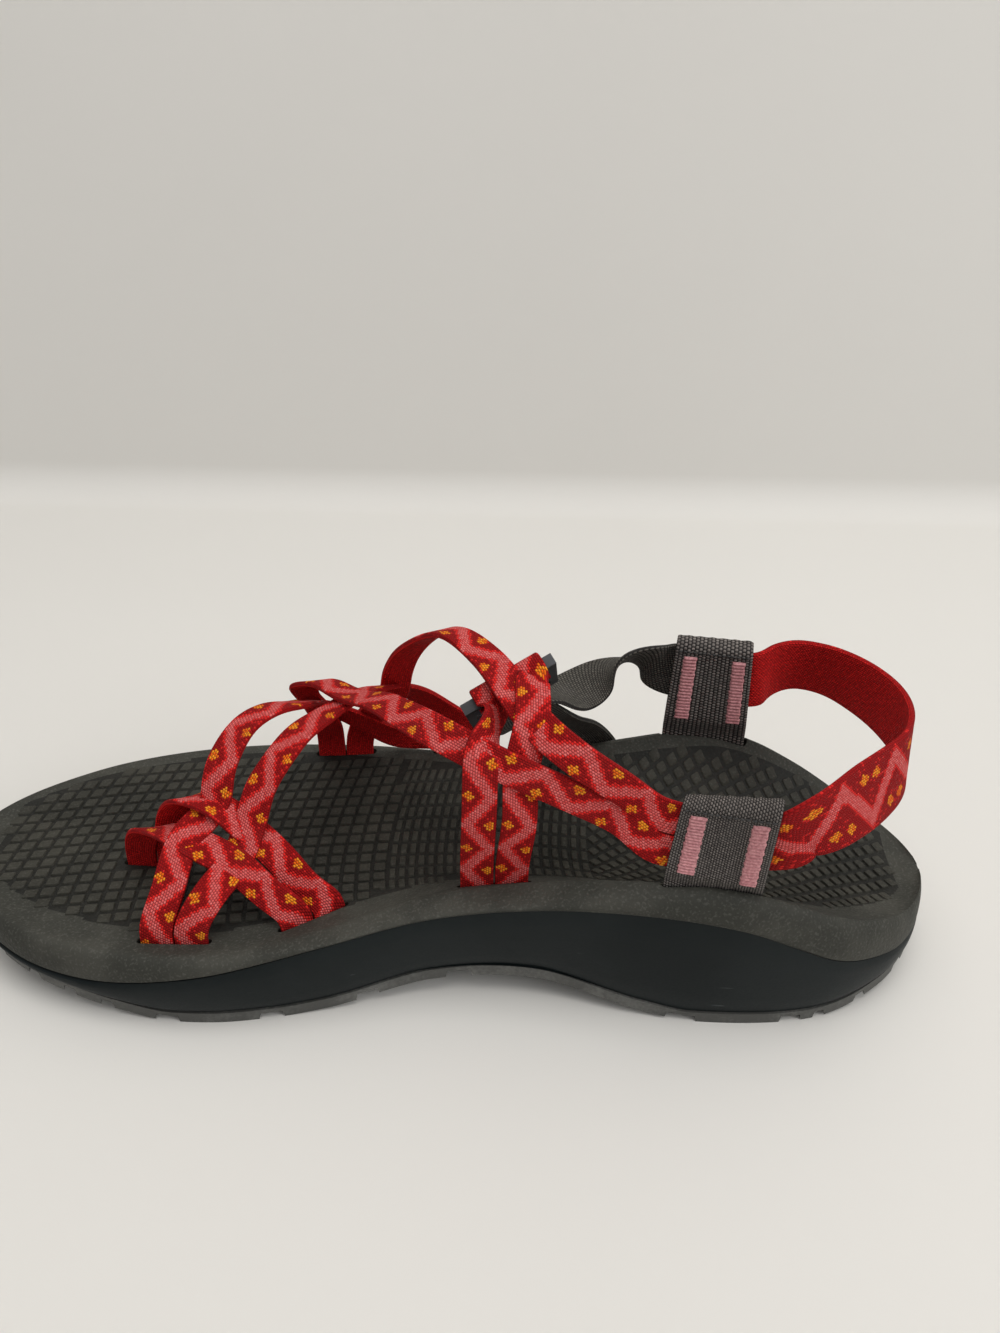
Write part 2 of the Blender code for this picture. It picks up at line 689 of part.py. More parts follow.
def heel_strap_rows(medial, lateral):
    rows = [(medial.at(*row), medial.out(row[0])) for row in HEEL_STRAP_MEDIAL]
    places = [point(row[:3]) for row in HEEL_STRAP]
    ends = [medial.at(*HEEL_STRAP_MEDIAL[-1])] + places + [lateral.at(*HEEL_STRAP_LATERAL[0])]
    for i, (place, row) in enumerate(zip(places, HEEL_STRAP)):
        run = ends[i + 2] - ends[i]
        level = Vector((run.y, -run.x, 0)).normalized()
        lean = math.radians(row[3])
        rows.append((place, level * math.cos(lean) + Vector((0, 0, math.sin(lean)))))
    inwards = -(SEAM_GAP + STRAP_THICK) / 2
    rows += [lateral.layer(*row, inwards) for row in HEEL_STRAP_LATERAL]
    return rows


class Buckle:
    """The ladder buckle's own axes: bar runs along its front bar, pull towards the adjusting strap."""

    def __init__(self):
        self.centre = point(BUCKLE_PLACE)
        level = Vector((-math.cos(BUCKLE_TURN), -math.sin(BUCKLE_TURN), 0))
        self.bar = level * math.cos(BUCKLE_TIP) + Vector((0, 0, math.sin(BUCKLE_TIP)))
        up = Vector((0, 0, 1))
        self.up = (up - self.bar * up.dot(self.bar)).normalized()
        self.medial = self.bar.cross(self.up)
        self.pull = -self.medial * math.cos(BUCKLE_HANG) - self.up * math.sin(BUCKLE_HANG)
        self.out = self.bar.cross(self.pull)

    def bars(self):
        """How far each bar's middle lies from the front bar."""
        return [i * (BUCKLE_BAR + BUCKLE_SLOT) for i in range(4)]

    def at(self, bar, pull, out=0.0):
        return self.centre + self.bar * bar + self.pull * pull + self.out * out

    def solid(self, name, collection, cutters):
        reach = self.bars()[-1] + BUCKLE_BAR
        middle = (reach - BUCKLE_BAR) / 2
        axes = Matrix((self.bar, self.pull, self.out)).transposed().to_4x4()
        plate = self.block(name, axes, middle, BUCKLE_WIDTH, reach, BUCKLE_THICK, collection)
        window = BUCKLE_WIDTH - 2 * BUCKLE_RAIL
        for i, bar in enumerate(self.bars()[:-1]):
            middle = bar + (BUCKLE_BAR + BUCKLE_SLOT) / 2
            hole = self.block(f"ladder_{i}", axes, middle, window, BUCKLE_SLOT, 3 * BUCKLE_THICK, cutters)
            cut(plate, [as_cutter(hole)])
        return plate

    def block(self, name, axes, pull, width, length, height, collection):
        mesh = bmesh.new()
        bmesh.ops.create_cube(mesh, size=1)
        sizes = Matrix.Diagonal((width, length, height, 1))
        place = Matrix.Translation(self.at(0, pull))
        bmesh.ops.transform(mesh, matrix=place @ axes @ sizes, verts=mesh.verts)
        return add_object(name, mesh, collection)


def loop_rows(buckle, side):
    """A strand's turn round the front bar, back to its own inner face."""
    middle = buckle.centre + buckle.bar * side
    radius = math.hypot(BUCKLE_BAR, BUCKLE_THICK) / 2 + BUCKLE_CLEAR + STRAP_THICK / 2
    rows = []
    for turn in LOOP_TURNS:
        angle = math.radians(turn)
        out = buckle.medial * math.cos(angle) + buckle.up * math.sin(angle)
        rows.append((middle + out * radius, out))
    return rows


def adjuster_rows(buckle, lateral):
    outwards = (SEAM_GAP + ADJUSTER_THICK) / 2
    rows = [lateral.layer(*row, outwards) for row in ADJUSTER_BACKS]
    rows += strand_rows("", ADJUSTER_RUN)
    pitch = BUCKLE_BAR + BUCKLE_SLOT
    stand_off = (BUCKLE_THICK + ADJUSTER_THICK) / 2 + BUCKLE_CLEAR
    for pull, out, turn in LADDER_WEAVE:
        angle = math.radians(turn)
        place = buckle.at(0, (2 + pull) * pitch, out * stand_off)
        rows.append((place, buckle.out * math.cos(angle) + buckle.pull * math.sin(angle)))
    rows += [(place, -out) for place, out in strand_rows("", ADJUSTER_TAIL)]
    return rows


def joined(name, pieces, collection):
    """One solid of the pieces, and the pieces removed."""
    body = pieces[0]
    body.name = name
    for other in pieces[1:]:
        modifier = body.modifiers.new(other.name, "BOOLEAN")
        modifier.operation = "UNION"
        modifier.solver = "EXACT"
        modifier.object = other
    graph = bpy.context.evaluated_depsgraph_get()
    mesh = bpy.data.meshes.new_from_object(body.evaluated_get(graph))
    made = bpy.data.objects.new(name, mesh)
    for piece in pieces:
        bpy.data.objects.remove(piece, do_unlink=True)
    made.name = name
    collection.objects.link(made)
    return made


def build_upper(buckle, medial, lateral, collection):
    round_heel = heel_strap_rows(medial, lateral)
    pieces = [ribbon("heel_strap", round_heel, HEEL_STRAP_WIDTH, STRAP_THICK, collection)]
    for name, (first, rows, last) in STRANDS.items():
        start = slot_rows(*first, 0)
        end = list(reversed(slot_rows(*last, 180)))
        path = start + strand_rows(name, rows) + end
        pieces.append(ribbon(name, path, STRAP_WIDTH, STRAP_THICK, collection))
    for name, rows in PAIR.items():
        side = (STRAP_WIDTH + PAIR_GAP) / 2 * (1 if name == "heel_high" else -1)
        start = []
        for back in PAIR_BACKS:
            out = medial.out(back)
            rise = (medial.at(back, 1) - medial.at(back, 0)).normalized()
            start.append((medial.at(back, PAIR_UP) + rise * side + out * PAIR_LAY * STRAP_THICK, out))
        end = list(reversed(slot_rows("ball_lateral", PAIR_END[name], 180)))
        path = start + strand_rows(name, rows) + end
        pieces.append(ribbon(name, path, STRAP_WIDTH, STRAP_THICK, collection))
    for name, (half, rows) in ARCH_PAIR.items():
        turn = loop_rows(buckle, LOOP_SIDES[name])
        path = slot_rows("arch_medial", half, 0) + strand_rows(name, rows) + turn
        pieces.append(ribbon(name, path, STRAP_WIDTH, STRAP_THICK, collection))
    return joined("upper", pieces, collection)


def finish(made):
    colour, roughness = FINISHES[made.name]
    material = bpy.data.materials.new(made.name)
    material.use_nodes = True
    shader = material.node_tree.nodes["Principled BSDF"]
    shader.inputs["Base Color"].default_value = (*colour, 1)
    shader.inputs["Roughness"].default_value = roughness
    shader.inputs["Metallic"].default_value = 0
    made.data.materials.clear()
    made.data.materials.append(material)


def stand_over_origin(parts, anchor):
    """Moves the sandal so that its box stands on the floor with its middle over the origin."""
    graph = bpy.context.evaluated_depsgraph_get()
    corners = [
        made.matrix_world @ Vector(corner)
        for made in parts
        for corner in made.evaluated_get(graph).bound_box
    ]
    low = Vector(min(corner[i] for corner in corners) for i in range(3))
    high = Vector(max(corner[i] for corner in corners) for i in range(3))
    anchor.location = (-(low.x + high.x) / 2, -(low.y + high.y) / 2, -low.z)


def new_collection(name):
    made = bpy.data.collections.new(name)
    bpy.context.scene.collection.children.link(made)
    return made


def main():
    for leftover in list(bpy.data.objects):
        bpy.data.objects.remove(leftover, do_unlink=True)
    shown = new_collection("sport_sandal")
    cutters = new_collection("cutters")

    outsole = loft("outsole", [outsole_loop(along) for along in stations()], shown)
    midsole = loft("midsole", [midsole_loop(along) for along in stations()], shown)
    footbed = loft("footbed", [footbed_loop(along) for along in stations()], shown)
    cut(outsole, [groove_cutter(f"groove_{i}", *row, cutters) for i, row in enumerate(GROOVES)])
    slots = [slot_cutter(name, cutters) for name in SLOTS]
    cut(footbed, slots)
    cut(midsole, slots)

    buckle_frame = Buckle()
    risers = {name: Riser(name, *tops) for name, tops in RISER_TOPS.items()}
    medial = risers["riser_medial"]
    lateral = risers["riser_lateral"]
    parts = [outsole, midsole, footbed]
    parts.append(build_upper(buckle_frame, medial, lateral, shown))
    parts += [riser.solid(name, shown) for name, riser in risers.items()]
    run = adjuster_rows(buckle_frame, lateral)
    parts.append(ribbon("adjuster_strap", run, ADJUSTER_WIDTH, ADJUSTER_THICK, shown))
    parts.append(buckle_frame.solid("buckle", shown, cutters))

    anchor = bpy.data.objects.new("sandal_origin", None)
    shown.objects.link(anchor)
    for made in parts:
        finish(made)
        made.parent = anchor
    for cutter in cutters.objects:
        cutter.parent = anchor
    bpy.context.view_layer.update()
    stand_over_origin(parts, anchor)


main()
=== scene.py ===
# %% [markdown]
# A sport sandal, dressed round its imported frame
#
# The frame holds every solid of the sandal at its real size. Here each one gets the finish of the real
# thing: moulded rubber, a pressed footbed, woven straps, stitched webbing loops and a plastic buckle. The
# solids are faceted, so smooth skins of the same form replace them, worked out from the same named sizes.

import math

import bmesh
import bpy
import numpy as np
from mathutils import Matrix, Vector


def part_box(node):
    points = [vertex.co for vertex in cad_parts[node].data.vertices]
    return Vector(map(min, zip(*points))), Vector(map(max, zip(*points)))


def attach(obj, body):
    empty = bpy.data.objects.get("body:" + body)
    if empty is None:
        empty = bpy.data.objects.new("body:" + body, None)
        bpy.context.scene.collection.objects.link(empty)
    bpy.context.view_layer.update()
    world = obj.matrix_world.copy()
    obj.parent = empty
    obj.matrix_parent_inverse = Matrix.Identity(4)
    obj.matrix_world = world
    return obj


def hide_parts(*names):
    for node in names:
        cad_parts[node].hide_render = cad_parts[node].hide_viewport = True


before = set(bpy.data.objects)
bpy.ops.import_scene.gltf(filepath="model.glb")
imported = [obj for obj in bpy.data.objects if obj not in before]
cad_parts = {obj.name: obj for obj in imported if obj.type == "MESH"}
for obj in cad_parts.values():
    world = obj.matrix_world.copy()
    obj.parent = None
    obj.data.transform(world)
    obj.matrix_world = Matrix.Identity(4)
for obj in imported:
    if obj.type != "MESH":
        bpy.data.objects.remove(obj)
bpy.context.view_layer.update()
print("nodes:", ", ".join(sorted(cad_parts)))

# %% [markdown]
# The sole's sizes
#
# A sole is drawn as sections from heel to toe. Each row below is one section, in shares of the named sizes:
# half widths, how far in the rim's crest lies, how high the tread lifts, where the smooth side ends (the
# belt), the rims and the bed between them. One cubic curve through each column gives any section between.

# %% Sizes and sections of the sole
LENGTH = 0.272
BALL_WIDTH = 0.096
RIM_HEIGHT = 0.045
INSTEP_HEIGHT = 0.089
TOE_SPRING = 0.012
HEEL_ROLL = 0.008
ARCH_RISE = 0.008
LATERAL_ARCH = 0.4
OUTSOLE_THICK = 0.0034
LUG_DEPTH = 0.002
LUG_SWEEP = 1.04
FOOTBED_THICK = 0.005
MIDSOLE_LEAST = 0.0015
SIDE_FLARE = 0.0012
ARCH_FLARE = 0.0012
SEAM_GAP = 0.0003
BOWL_POWER = 2.6
INTERFACE_POWER = 3.0

SOLE_COLUMNS = (
    "along", "medial", "lateral", "inset", "arch", "spring", "roll",
    "belt_medial", "belt_lateral", "rim_medial", "rim_lateral", "bed",
)
SOLE_ROWS = (
    (0.00, 0.000, 0.000, 0.025, 0.00, 0.00, 1.00, 0.36, 0.36, 0.47, 0.47, 0.47),
    (0.06, 0.306, 0.262, 0.035, 0.00, 0.00, 0.35, 0.37, 0.37, 0.60, 0.62, 0.48),
    (0.12, 0.392, 0.342, 0.040, 0.00, 0.00, 0.06, 0.50, 0.50, 0.76, 0.80, 0.55),
    (0.16, 0.414, 0.364, 0.042, 0.00, 0.00, 0.00, 0.635, 0.62, 0.875, 0.91, 0.58),
    (0.20, 0.423, 0.375, 0.045, 0.00, 0.00, 0.00, 0.75, 0.70, 0.96, 0.98, 0.60),
    (0.25, 0.422, 0.383, 0.054, 0.00, 0.00, 0.00, 0.82, 0.69, 0.99, 0.955, 0.61),
    (0.30, 0.412, 0.390, 0.065, 0.30, 0.00, 0.00, 0.84, 0.64, 0.97, 0.89, 0.61),
    (0.40, 0.375, 0.423, 0.085, 1.00, 0.00, 0.00, 0.77, 0.49, 0.82, 0.71, 0.58),
    (0.50, 0.372, 0.476, 0.075, 0.75, 0.00, 0.00, 0.66, 0.40, 0.71, 0.60, 0.53),
    (0.60, 0.433, 0.520, 0.055, 0.12, 0.00, 0.00, 0.54, 0.36, 0.58, 0.54, 0.46),
    (0.65, 0.463, 0.528, 0.049, 0.00, 0.00, 0.00, 0.475, 0.35, 0.535, 0.52, 0.435),
    (0.70, 0.486, 0.526, 0.045, 0.00, 0.00, 0.00, 0.41, 0.34, 0.50, 0.51, 0.42),
    (0.75, 0.489, 0.510, 0.042, 0.00, 0.00, 0.00, 0.35, 0.325, 0.485, 0.507, 0.415),
    (0.80, 0.476, 0.479, 0.040, 0.00, 0.19, 0.00, 0.30, 0.31, 0.48, 0.51, 0.42),
    (0.88, 0.422, 0.392, 0.038, 0.00, 0.53, 0.00, 0.29, 0.30, 0.49, 0.52, 0.44),
    (0.94, 0.331, 0.283, 0.035, 0.00, 0.79, 0.00, 0.34, 0.34, 0.51, 0.52, 0.46),
    (1.00, 0.000, 0.000, 0.025, 0.00, 1.00, 0.00, 0.43, 0.43, 0.54, 0.54, 0.54),
)
SOLE = dict(zip(SOLE_COLUMNS, np.array(SOLE_ROWS).T))


def smooth(keys, values, at):
    """Cubic curve through the rows, with the slope at each row taken from its neighbours."""
    keys = np.asarray(keys, float)
    values = np.asarray(values, float)
    at = np.asarray(at, float)
    slopes = np.gradient(values, keys, axis=0)
    spans = np.clip(np.searchsorted(keys, at, side="right") - 1, 0, len(keys) - 2)
    width = keys[spans + 1] - keys[spans]
    t = (at - keys[spans]) / width
    if values.ndim > 1:
        width = width[..., None]
        t = t[..., None]
    return (
        (2 * t**3 - 3 * t**2 + 1) * values[spans]
        + (t**3 - 2 * t**2 + t) * width * slopes[spans]
        + (3 * t**2 - 2 * t**3) * values[spans + 1]
        + (t**3 - t**2) * width * slopes[spans + 1]
    )


def sole(column, along):
    """A column's value at shares of the length, read over an angle so that the ends come out round."""
    angles = [np.arccos(1 - 2 * np.clip(v, 0, 1)) for v in (SOLE["along"], along)]
    return smooth(angles[0], SOLE[column], angles[1])


class Sections:
    """The sole's edges and heights at an array of stations."""

    def __init__(self, along):
        self.along = np.asarray(along, float)
        self.x = (self.along - 0.5) * LENGTH
        self.medial = sole("medial", along) * BALL_WIDTH
        self.lateral = -sole("lateral", along) * BALL_WIDTH
        half = (self.medial - self.lateral) / 2
        arch = np.maximum(0, sole("arch", along))
        flare = np.minimum(SIDE_FLARE + arch * ARCH_FLARE, 0.2 * half)
        inset = np.minimum(sole("inset", along) * BALL_WIDTH, 0.35 * half)
        self.foot_medial = self.medial - flare
        self.foot_lateral = self.lateral + flare
        self.crest_medial = self.medial - inset
        self.crest_lateral = self.lateral + inset
        ends = sole("spring", along) * TOE_SPRING + sole("roll", along) * HEEL_ROLL
        self.tread_medial = np.maximum(0, ends + arch * ARCH_RISE)
        self.tread_lateral = np.maximum(0, ends + LATERAL_ARCH * arch * ARCH_RISE)
        self.belt_medial = sole("belt_medial", along) * RIM_HEIGHT
        self.belt_lateral = sole("belt_lateral", along) * RIM_HEIGHT
        self.rim_medial = sole("rim_medial", along) * RIM_HEIGHT
        self.rim_lateral = sole("rim_lateral", along) * RIM_HEIGHT
        self.bed = sole("bed", along) * RIM_HEIGHT

    def tread(self, y):
        share = (y - self.foot_lateral) / (self.foot_medial - self.foot_lateral)
        share = np.clip(share, 0, 1)
        return self.tread_lateral + share * (self.tread_medial - self.tread_lateral)

    def bowl(self, y):
        """Top of the footbed between the crests of its rim."""
        share = (2 * y - self.crest_medial - self.crest_lateral) / (self.crest_medial - self.crest_lateral)
        rim = np.where(share > 0, self.rim_medial, self.rim_lateral)
        return self.bed + (rim - self.bed) * np.minimum(1, np.abs(share)) ** BOWL_POWER

    def interface(self, y):
        """Where footbed and midsole meet: the belts outside, under the bed inside."""
        share = (2 * y - self.medial - self.lateral) / (self.medial - self.lateral)
        belt = np.where(share > 0, self.belt_medial, self.belt_lateral)
        ground = np.maximum(self.tread_medial, self.tread_lateral) + OUTSOLE_THICK + SEAM_GAP
        low = np.maximum(self.bed - FOOTBED_THICK, ground + MIDSOLE_LEAST)
        return low + (belt - low) * np.minimum(1, np.abs(share)) ** INTERFACE_POWER


def stations(count, ends=0.5):
    """Shares of the length, closer together towards the round ends."""
    t = np.linspace(0.0005, 0.9995, count)
    return ends * (1 - np.cos(np.pi * t)) / 2 + (1 - ends) * t


def bed_height(x, y):
    """Top of the footbed at places, before its relief."""
    x = np.asarray(x, float)
    return Sections(x / LENGTH + 0.5).bowl(np.asarray(y, float))


frame_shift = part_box("midsole")[0].y - Sections(stations(800)).lateral.min()
print(f"the frame stands {frame_shift * 1000:.2f} mm to the medial side of the sole's own axis")

# %% [markdown]
# Making meshes from rings of points
#
# Most pieces here are lofts: a ring of points is repeated along the piece, and neighbouring rings are joined
# by quads. Numpy works out all the points at once, which is quicker than adding them one at a time, and the
# same helper can give each face a finish and each point a place in the weave.


# %% Helpers for meshes
def add_mesh(name, points, faces, finishes, face_finish=None, weave=None, flat=False):
    """A mesh object from points in metres on the sole's own axis, moved into the frame."""
    mesh = bpy.data.meshes.new(name)
    mesh.from_pydata((np.asarray(points) + (0, frame_shift, 0)).tolist(), [], faces)
    for finish in finishes:
        mesh.materials.append(finish)
    if face_finish is not None:
        mesh.polygons.foreach_set("material_index", np.asarray(face_finish, np.int32))
    if weave is not None:
        corner_points = np.empty(len(mesh.loops), np.int32)
        mesh.loops.foreach_get("vertex_index", corner_points)
        mesh.uv_layers.new(name="weave").data.foreach_set("uv", np.asarray(weave)[corner_points].ravel())
    if not flat:
        mesh.shade_smooth()
    made = bpy.data.objects.new(name, mesh)
    bpy.context.scene.collection.objects.link(made)
    return made


def ring_faces(rings, count, first=0):
    """Quads between closed rings of count points each."""
    a = np.arange(rings - 1)[:, None] * count + np.arange(count)[None, :]
    b = np.arange(rings - 1)[:, None] * count + (np.arange(count)[None, :] + 1) % count
    quads = np.stack([a, b, b + count, a + count], -1).reshape(-1, 4) + first
    return quads.tolist()


def closed_loft(name, rings, finishes, face_finish=None, weave=None):
    """A closed body from rings of points, shape (rings, points, 3), with both ends filled."""
    count, around = rings.shape[:2]
    faces = ring_faces(count, around)
    caps = [list(range(around))[::-1], list(range((count - 1) * around, count * around))]
    if face_finish is not None:
        face_finish = np.concatenate([np.tile(face_finish, count - 1), [0, 0]])
    made = add_mesh(name, rings.reshape(-1, 3), faces + caps, finishes, face_finish, weave)
    outward(made)
    return made


def outward(made):
    """Turns a closed body's faces outwards."""
    mesh = bmesh.new()
    mesh.from_mesh(made.data)
    bmesh.ops.recalc_face_normals(mesh, faces=mesh.faces)
    mesh.to_mesh(made.data)
    mesh.free()


def crisp(made, degrees):
    made.data.set_sharp_from_angle(angle=math.radians(degrees))
    return made


# %% [markdown]
# Writing shaders as sums
#
# A material in Blender is a graph of nodes. Long graphs are hard to read as lists of links, so one small
# class wraps a socket and lets sums be written on it: each sum adds its Math node. Colours are mixed with Mix
# nodes and vectors with Vector Math, and one method makes any other node.


# %% A socket that can be summed
class Wire:
    def __init__(self, socket):
        self.socket = socket

    @staticmethod
    def node(tree, kind, settings=None, values=None, output=0):
        made = tree.nodes.new(kind)
        for name, setting in (settings or {}).items():
            if name == "stops":
                ramp = made.color_ramp
                while len(ramp.elements) < len(setting):
                    ramp.elements.new(0.5)
                for element, (place, colour) in zip(ramp.elements, setting):
                    element.position = place
                    element.color = (*colour, 1)
            else:
                setattr(made, name, setting)
        for key, value in (values or {}).items():
            if isinstance(value, Wire):
                tree.links.new(value.socket, made.inputs[key])
            else:
                made.inputs[key].default_value = value
        return Wire(made.outputs[output])

    def make(self, kind, settings=None, values=None, output=0):
        return Wire.node(self.socket.id_data, kind, settings, values, output)

    def math(self, operation, *others):
        values = dict(enumerate((self, *others)))
        if self.socket.type == "VECTOR":
            values = {k: v if isinstance(v, (Wire, tuple)) else (v, v, v) for k, v in values.items()}
            return self.make("ShaderNodeVectorMath", {"operation": operation}, values)
        return self.make("ShaderNodeMath", {"operation": operation}, values)

    def flipped(self, operation, other):
        return self.make("ShaderNodeMath", {"operation": operation}, {0: other, 1: self})

    def __add__(self, other):
        return self.math("ADD", other)

    def __sub__(self, other):
        return self.math("SUBTRACT", other)

    def __mul__(self, other):
        return self.math("MULTIPLY", other)

    def __truediv__(self, other):
        return self.math("DIVIDE", other)

    def __radd__(self, other):
        return self.flipped("ADD", other)

    def __rsub__(self, other):
        return self.flipped("SUBTRACT", other)

    def __rmul__(self, other):
        return self.flipped("MULTIPLY", other)

    def __rtruediv__(self, other):
        return self.flipped("DIVIDE", other)

    def floor(self):
        return self.math("FLOOR")

    def size(self):
        return self.math("ABSOLUTE")

    def sine(self):
        return self.math("SINE")

    def over(self, other):
        return self.math("GREATER_THAN", other)

    def under(self, other):
        return self.math("LESS_THAN", other)

    def smaller(self, other):
        return self.math("MINIMUM", other)

    def zigzag(self, period):
        """Runs 0, 1, 0 over each period."""
        return self.math("PINGPONG", period / 2) / (period / 2)

    def ramp(self, low, high, to_low=0.0, to_high=1.0):
        values = {"Value": self, "From Min": low, "From Max": high, "To Min": to_low, "To Max": to_high}
        return self.make("ShaderNodeMapRange", {"interpolation_type": "SMOOTHSTEP"}, values)

    def mix(self, low, high):
        """The colour low where this is 0 and high where it is 1."""
        ends = [v if isinstance(v, Wire) else (*v, 1) for v in (low, high)]
        values = {0: self, 6: ends[0], 7: ends[1]}
        return self.make("ShaderNodeMix", {"data_type": "RGBA"}, values, 2)


def place_in(tree):
    """The place in the object, in metres."""
    return Wire.node(tree, "ShaderNodeTexCoord", output="Object")


def noise(place, size, detail=3.0, output="Fac"):
    """Soft noise whose spots are about size metres across."""
    values = {"Vector": place, "Scale": 1 / size, "Detail": detail}
    return place.make("ShaderNodeTexNoise", None, values, output)


def finish(name, paint):
    """A material: paint gets its node tree and returns what its shader's sockets hold."""
    material = bpy.data.materials.new(name)
    material.use_nodes = True
    tree = material.node_tree
    shader = tree.nodes["Principled BSDF"]
    for key, value in paint(tree).items():
        if isinstance(value, Wire):
            tree.links.new(value.socket, shader.inputs[key])
        else:
            shader.inputs[key].default_value = value
    return material


def bump(height, distance, strength=1.0):
    """A normal from a height of 0 to 1 that stands for distance metres."""
    return height.make("ShaderNodeBump", None, {"Strength": strength, "Distance": distance, "Height": height})


print("shader helpers ready")

# %% [markdown]
# Rubber for the tread and the side
#
# The tread is a hard grey rubber that scuffs lighter. The side is a smooth foam, almost black with a blue
# cast, with a faint grain and a few pale scratches where it has been knocked. Both are broken up by noise at
# two sizes, so that no surface reads as one flat colour.


# %% Finishes of the sole
def tread_paint(tree):
    place = place_in(tree)
    cloud = noise(place, 0.012)
    grain = noise(place, 0.0009, 2)
    dust = (cloud * 0.6 + grain * 0.4).ramp(0.42, 0.68)
    return {
        "Base Color": dust.mix((0.066, 0.066, 0.060), (0.135, 0.134, 0.124)),
        "Roughness": 0.62 + dust * 0.25,
        "Normal": bump(grain, 0.00012, 0.6),
    }


def side_paint(tree):
    place = place_in(tree)
    cloud = noise(place, 0.03)
    grain = noise(place, 0.0007, 2)
    stretched = place * (60.0, 700.0, 700.0)
    scratch = stretched.make("ShaderNodeTexNoise", None, {"Vector": stretched, "Scale": 1.0, "Detail": 1.0})
    marks = scratch.ramp(0.72, 0.78) * noise(place, 0.02).ramp(0.5, 0.62)
    base = cloud.ramp(0.35, 0.7).mix((0.0050, 0.0080, 0.0085), (0.0090, 0.0125, 0.0130))
    return {
        "Base Color": (marks * 0.5).mix(base, (0.11, 0.12, 0.12)),
        "Roughness": 0.44 + grain * 0.14 + marks * 0.2,
        "Specular IOR Level": 0.16,
        "Normal": bump(grain * 0.7 + scratch * 0.3, 0.00006, 0.5),
    }


def olive_rubber(low, high, speck):
    """Dark olive rubber, pebbled all over, rubbed paler where the foot rests."""
    def paint(tree):
        place = place_in(tree)
        cloud = noise(place, 0.025)
        pebbles = place.make("ShaderNodeTexVoronoi", None, {"Vector": place, "Scale": 1150.0})
        grain = noise(place, 0.0007, 2)
        wear = (cloud * 0.7 + noise(place, 0.006) * 0.3).ramp(0.4, 0.62)
        return {
            "Base Color": (grain.ramp(0.5, 0.72) * speck).mix(wear.mix(low, high), (0.16, 0.157, 0.138)),
            "Roughness": 0.56 + cloud * 0.2,
            "Specular IOR Level": 0.22,
            "Normal": bump(1 - pebbles + grain * 0.4, 0.00016, 0.6),
        }

    return paint


tread_rubber = finish("tread_rubber", tread_paint)
side_foam = finish("side_foam", side_paint)
rim_rubber = finish("rim_rubber", olive_rubber((0.032, 0.032, 0.026), (0.052, 0.051, 0.042), 0.22))
pad_rubber = finish("pad_rubber", olive_rubber((0.028, 0.027, 0.021), (0.044, 0.042, 0.033), 0.12))
# A darker copy of the olive rubber for the ground between the pads: painted shade in the grooves.
groove_painted_shade_rubber = finish("groove_painted_shade_rubber", olive_rubber((0.011, 0.011, 0.009), (0.019, 0.018, 0.015), 0.05))

# %% [markdown]
# The outsole
#
# On the real sole the lugs are moulded in one piece with the tread and swept back towards its edges. A cutter
# for each groove would leave hard facets, so the tread is a grid of points that is simply lifted inside each
# groove, with short sloping walls, as a mould needs. A fine chevron is pressed into each lug.

# %% Outsole with its lugs
GROOVES = (
    (0.045, 0.012), (0.090, 0.012), (0.133, 0.012), (0.172, 0.022), (0.287, 0.030), (0.500, 0.026),
    (0.585, 0.022), (0.678, 0.024), (0.778, 0.024), (0.827, 0.014), (0.866, 0.014), (0.905, 0.014),
    (0.945, 0.012),
)
WALL = 0.0016
CHEVRON_PITCH = 0.0052
CHEVRON_DEPTH = 0.0003


def groove_share(along, across):
    """1 inside a groove and 0 on a lug, at shares of the length and from -1 to 1 across."""
    inside = np.zeros(np.broadcast(along, across).shape)
    for centre, width in GROOVES:
        middle = centre - LUG_SWEEP * width * np.abs(across)
        edge = (width / 2 - np.abs(along - middle)) / WALL
        inside = np.maximum(inside, np.clip(edge, 0, 1))
    return inside


def groove_stations(count):
    """Even stations, with more beside each groove's walls at the sole's edge."""
    extra = []
    for centre, width in GROOVES:
        middle = centre - LUG_SWEEP * width
        for wall in (-1, 1):
            extra += [middle + wall * (width / 2 - step * WALL) for step in (0.0, 0.5, 1.0)]
    return np.unique(np.clip(np.concatenate([stations(count), extra]), 0.0005, 0.9995))


def outsole_skin():
    along = groove_stations(300)[:, None]
    s = Sections(along)
    across = np.linspace(-1, 1, 61)[None, :]
    middle = (s.foot_medial + s.foot_lateral) / 2
    half = (s.foot_medial - s.foot_lateral) / 2
    y = middle + half * across
    ridge = np.abs(((along * LENGTH + np.abs(y) * 0.5) / CHEVRON_PITCH) % 1 - 0.5) * 2
    lug = 1 - groove_share(along, across)
    edge = np.clip((1 - np.abs(across)) / 0.08, 0, 1)
    low = s.tread(y) + (1 - lug) * LUG_DEPTH + CHEVRON_DEPTH * np.clip(ridge * 3 - 1.6, 0, 1) * lug * edge
    top = s.tread(y) + OUTSOLE_THICK
    x = np.broadcast_to(s.x, y.shape)
    bottom = np.stack([x, y, low], -1)
    cover = np.stack([x, y, top], -1)[:, ::-1]
    return np.concatenate([bottom, cover], 1)


outsole = crisp(closed_loft("outsole_lugs", outsole_skin(), [tread_rubber]), 35)
print("outsole:", len(outsole.data.polygons), "faces")

# %% [markdown]
# The midsole
#
# The side of a foam sole isn't a flat wall: it leans out from the tread, swells a little and turns in under
# the footbed's lip. Each section's side gets eight points on such a curve.

# %% Midsole
SIDE_SWELL = 0.0009
SIDE_ROUND = 0.0005


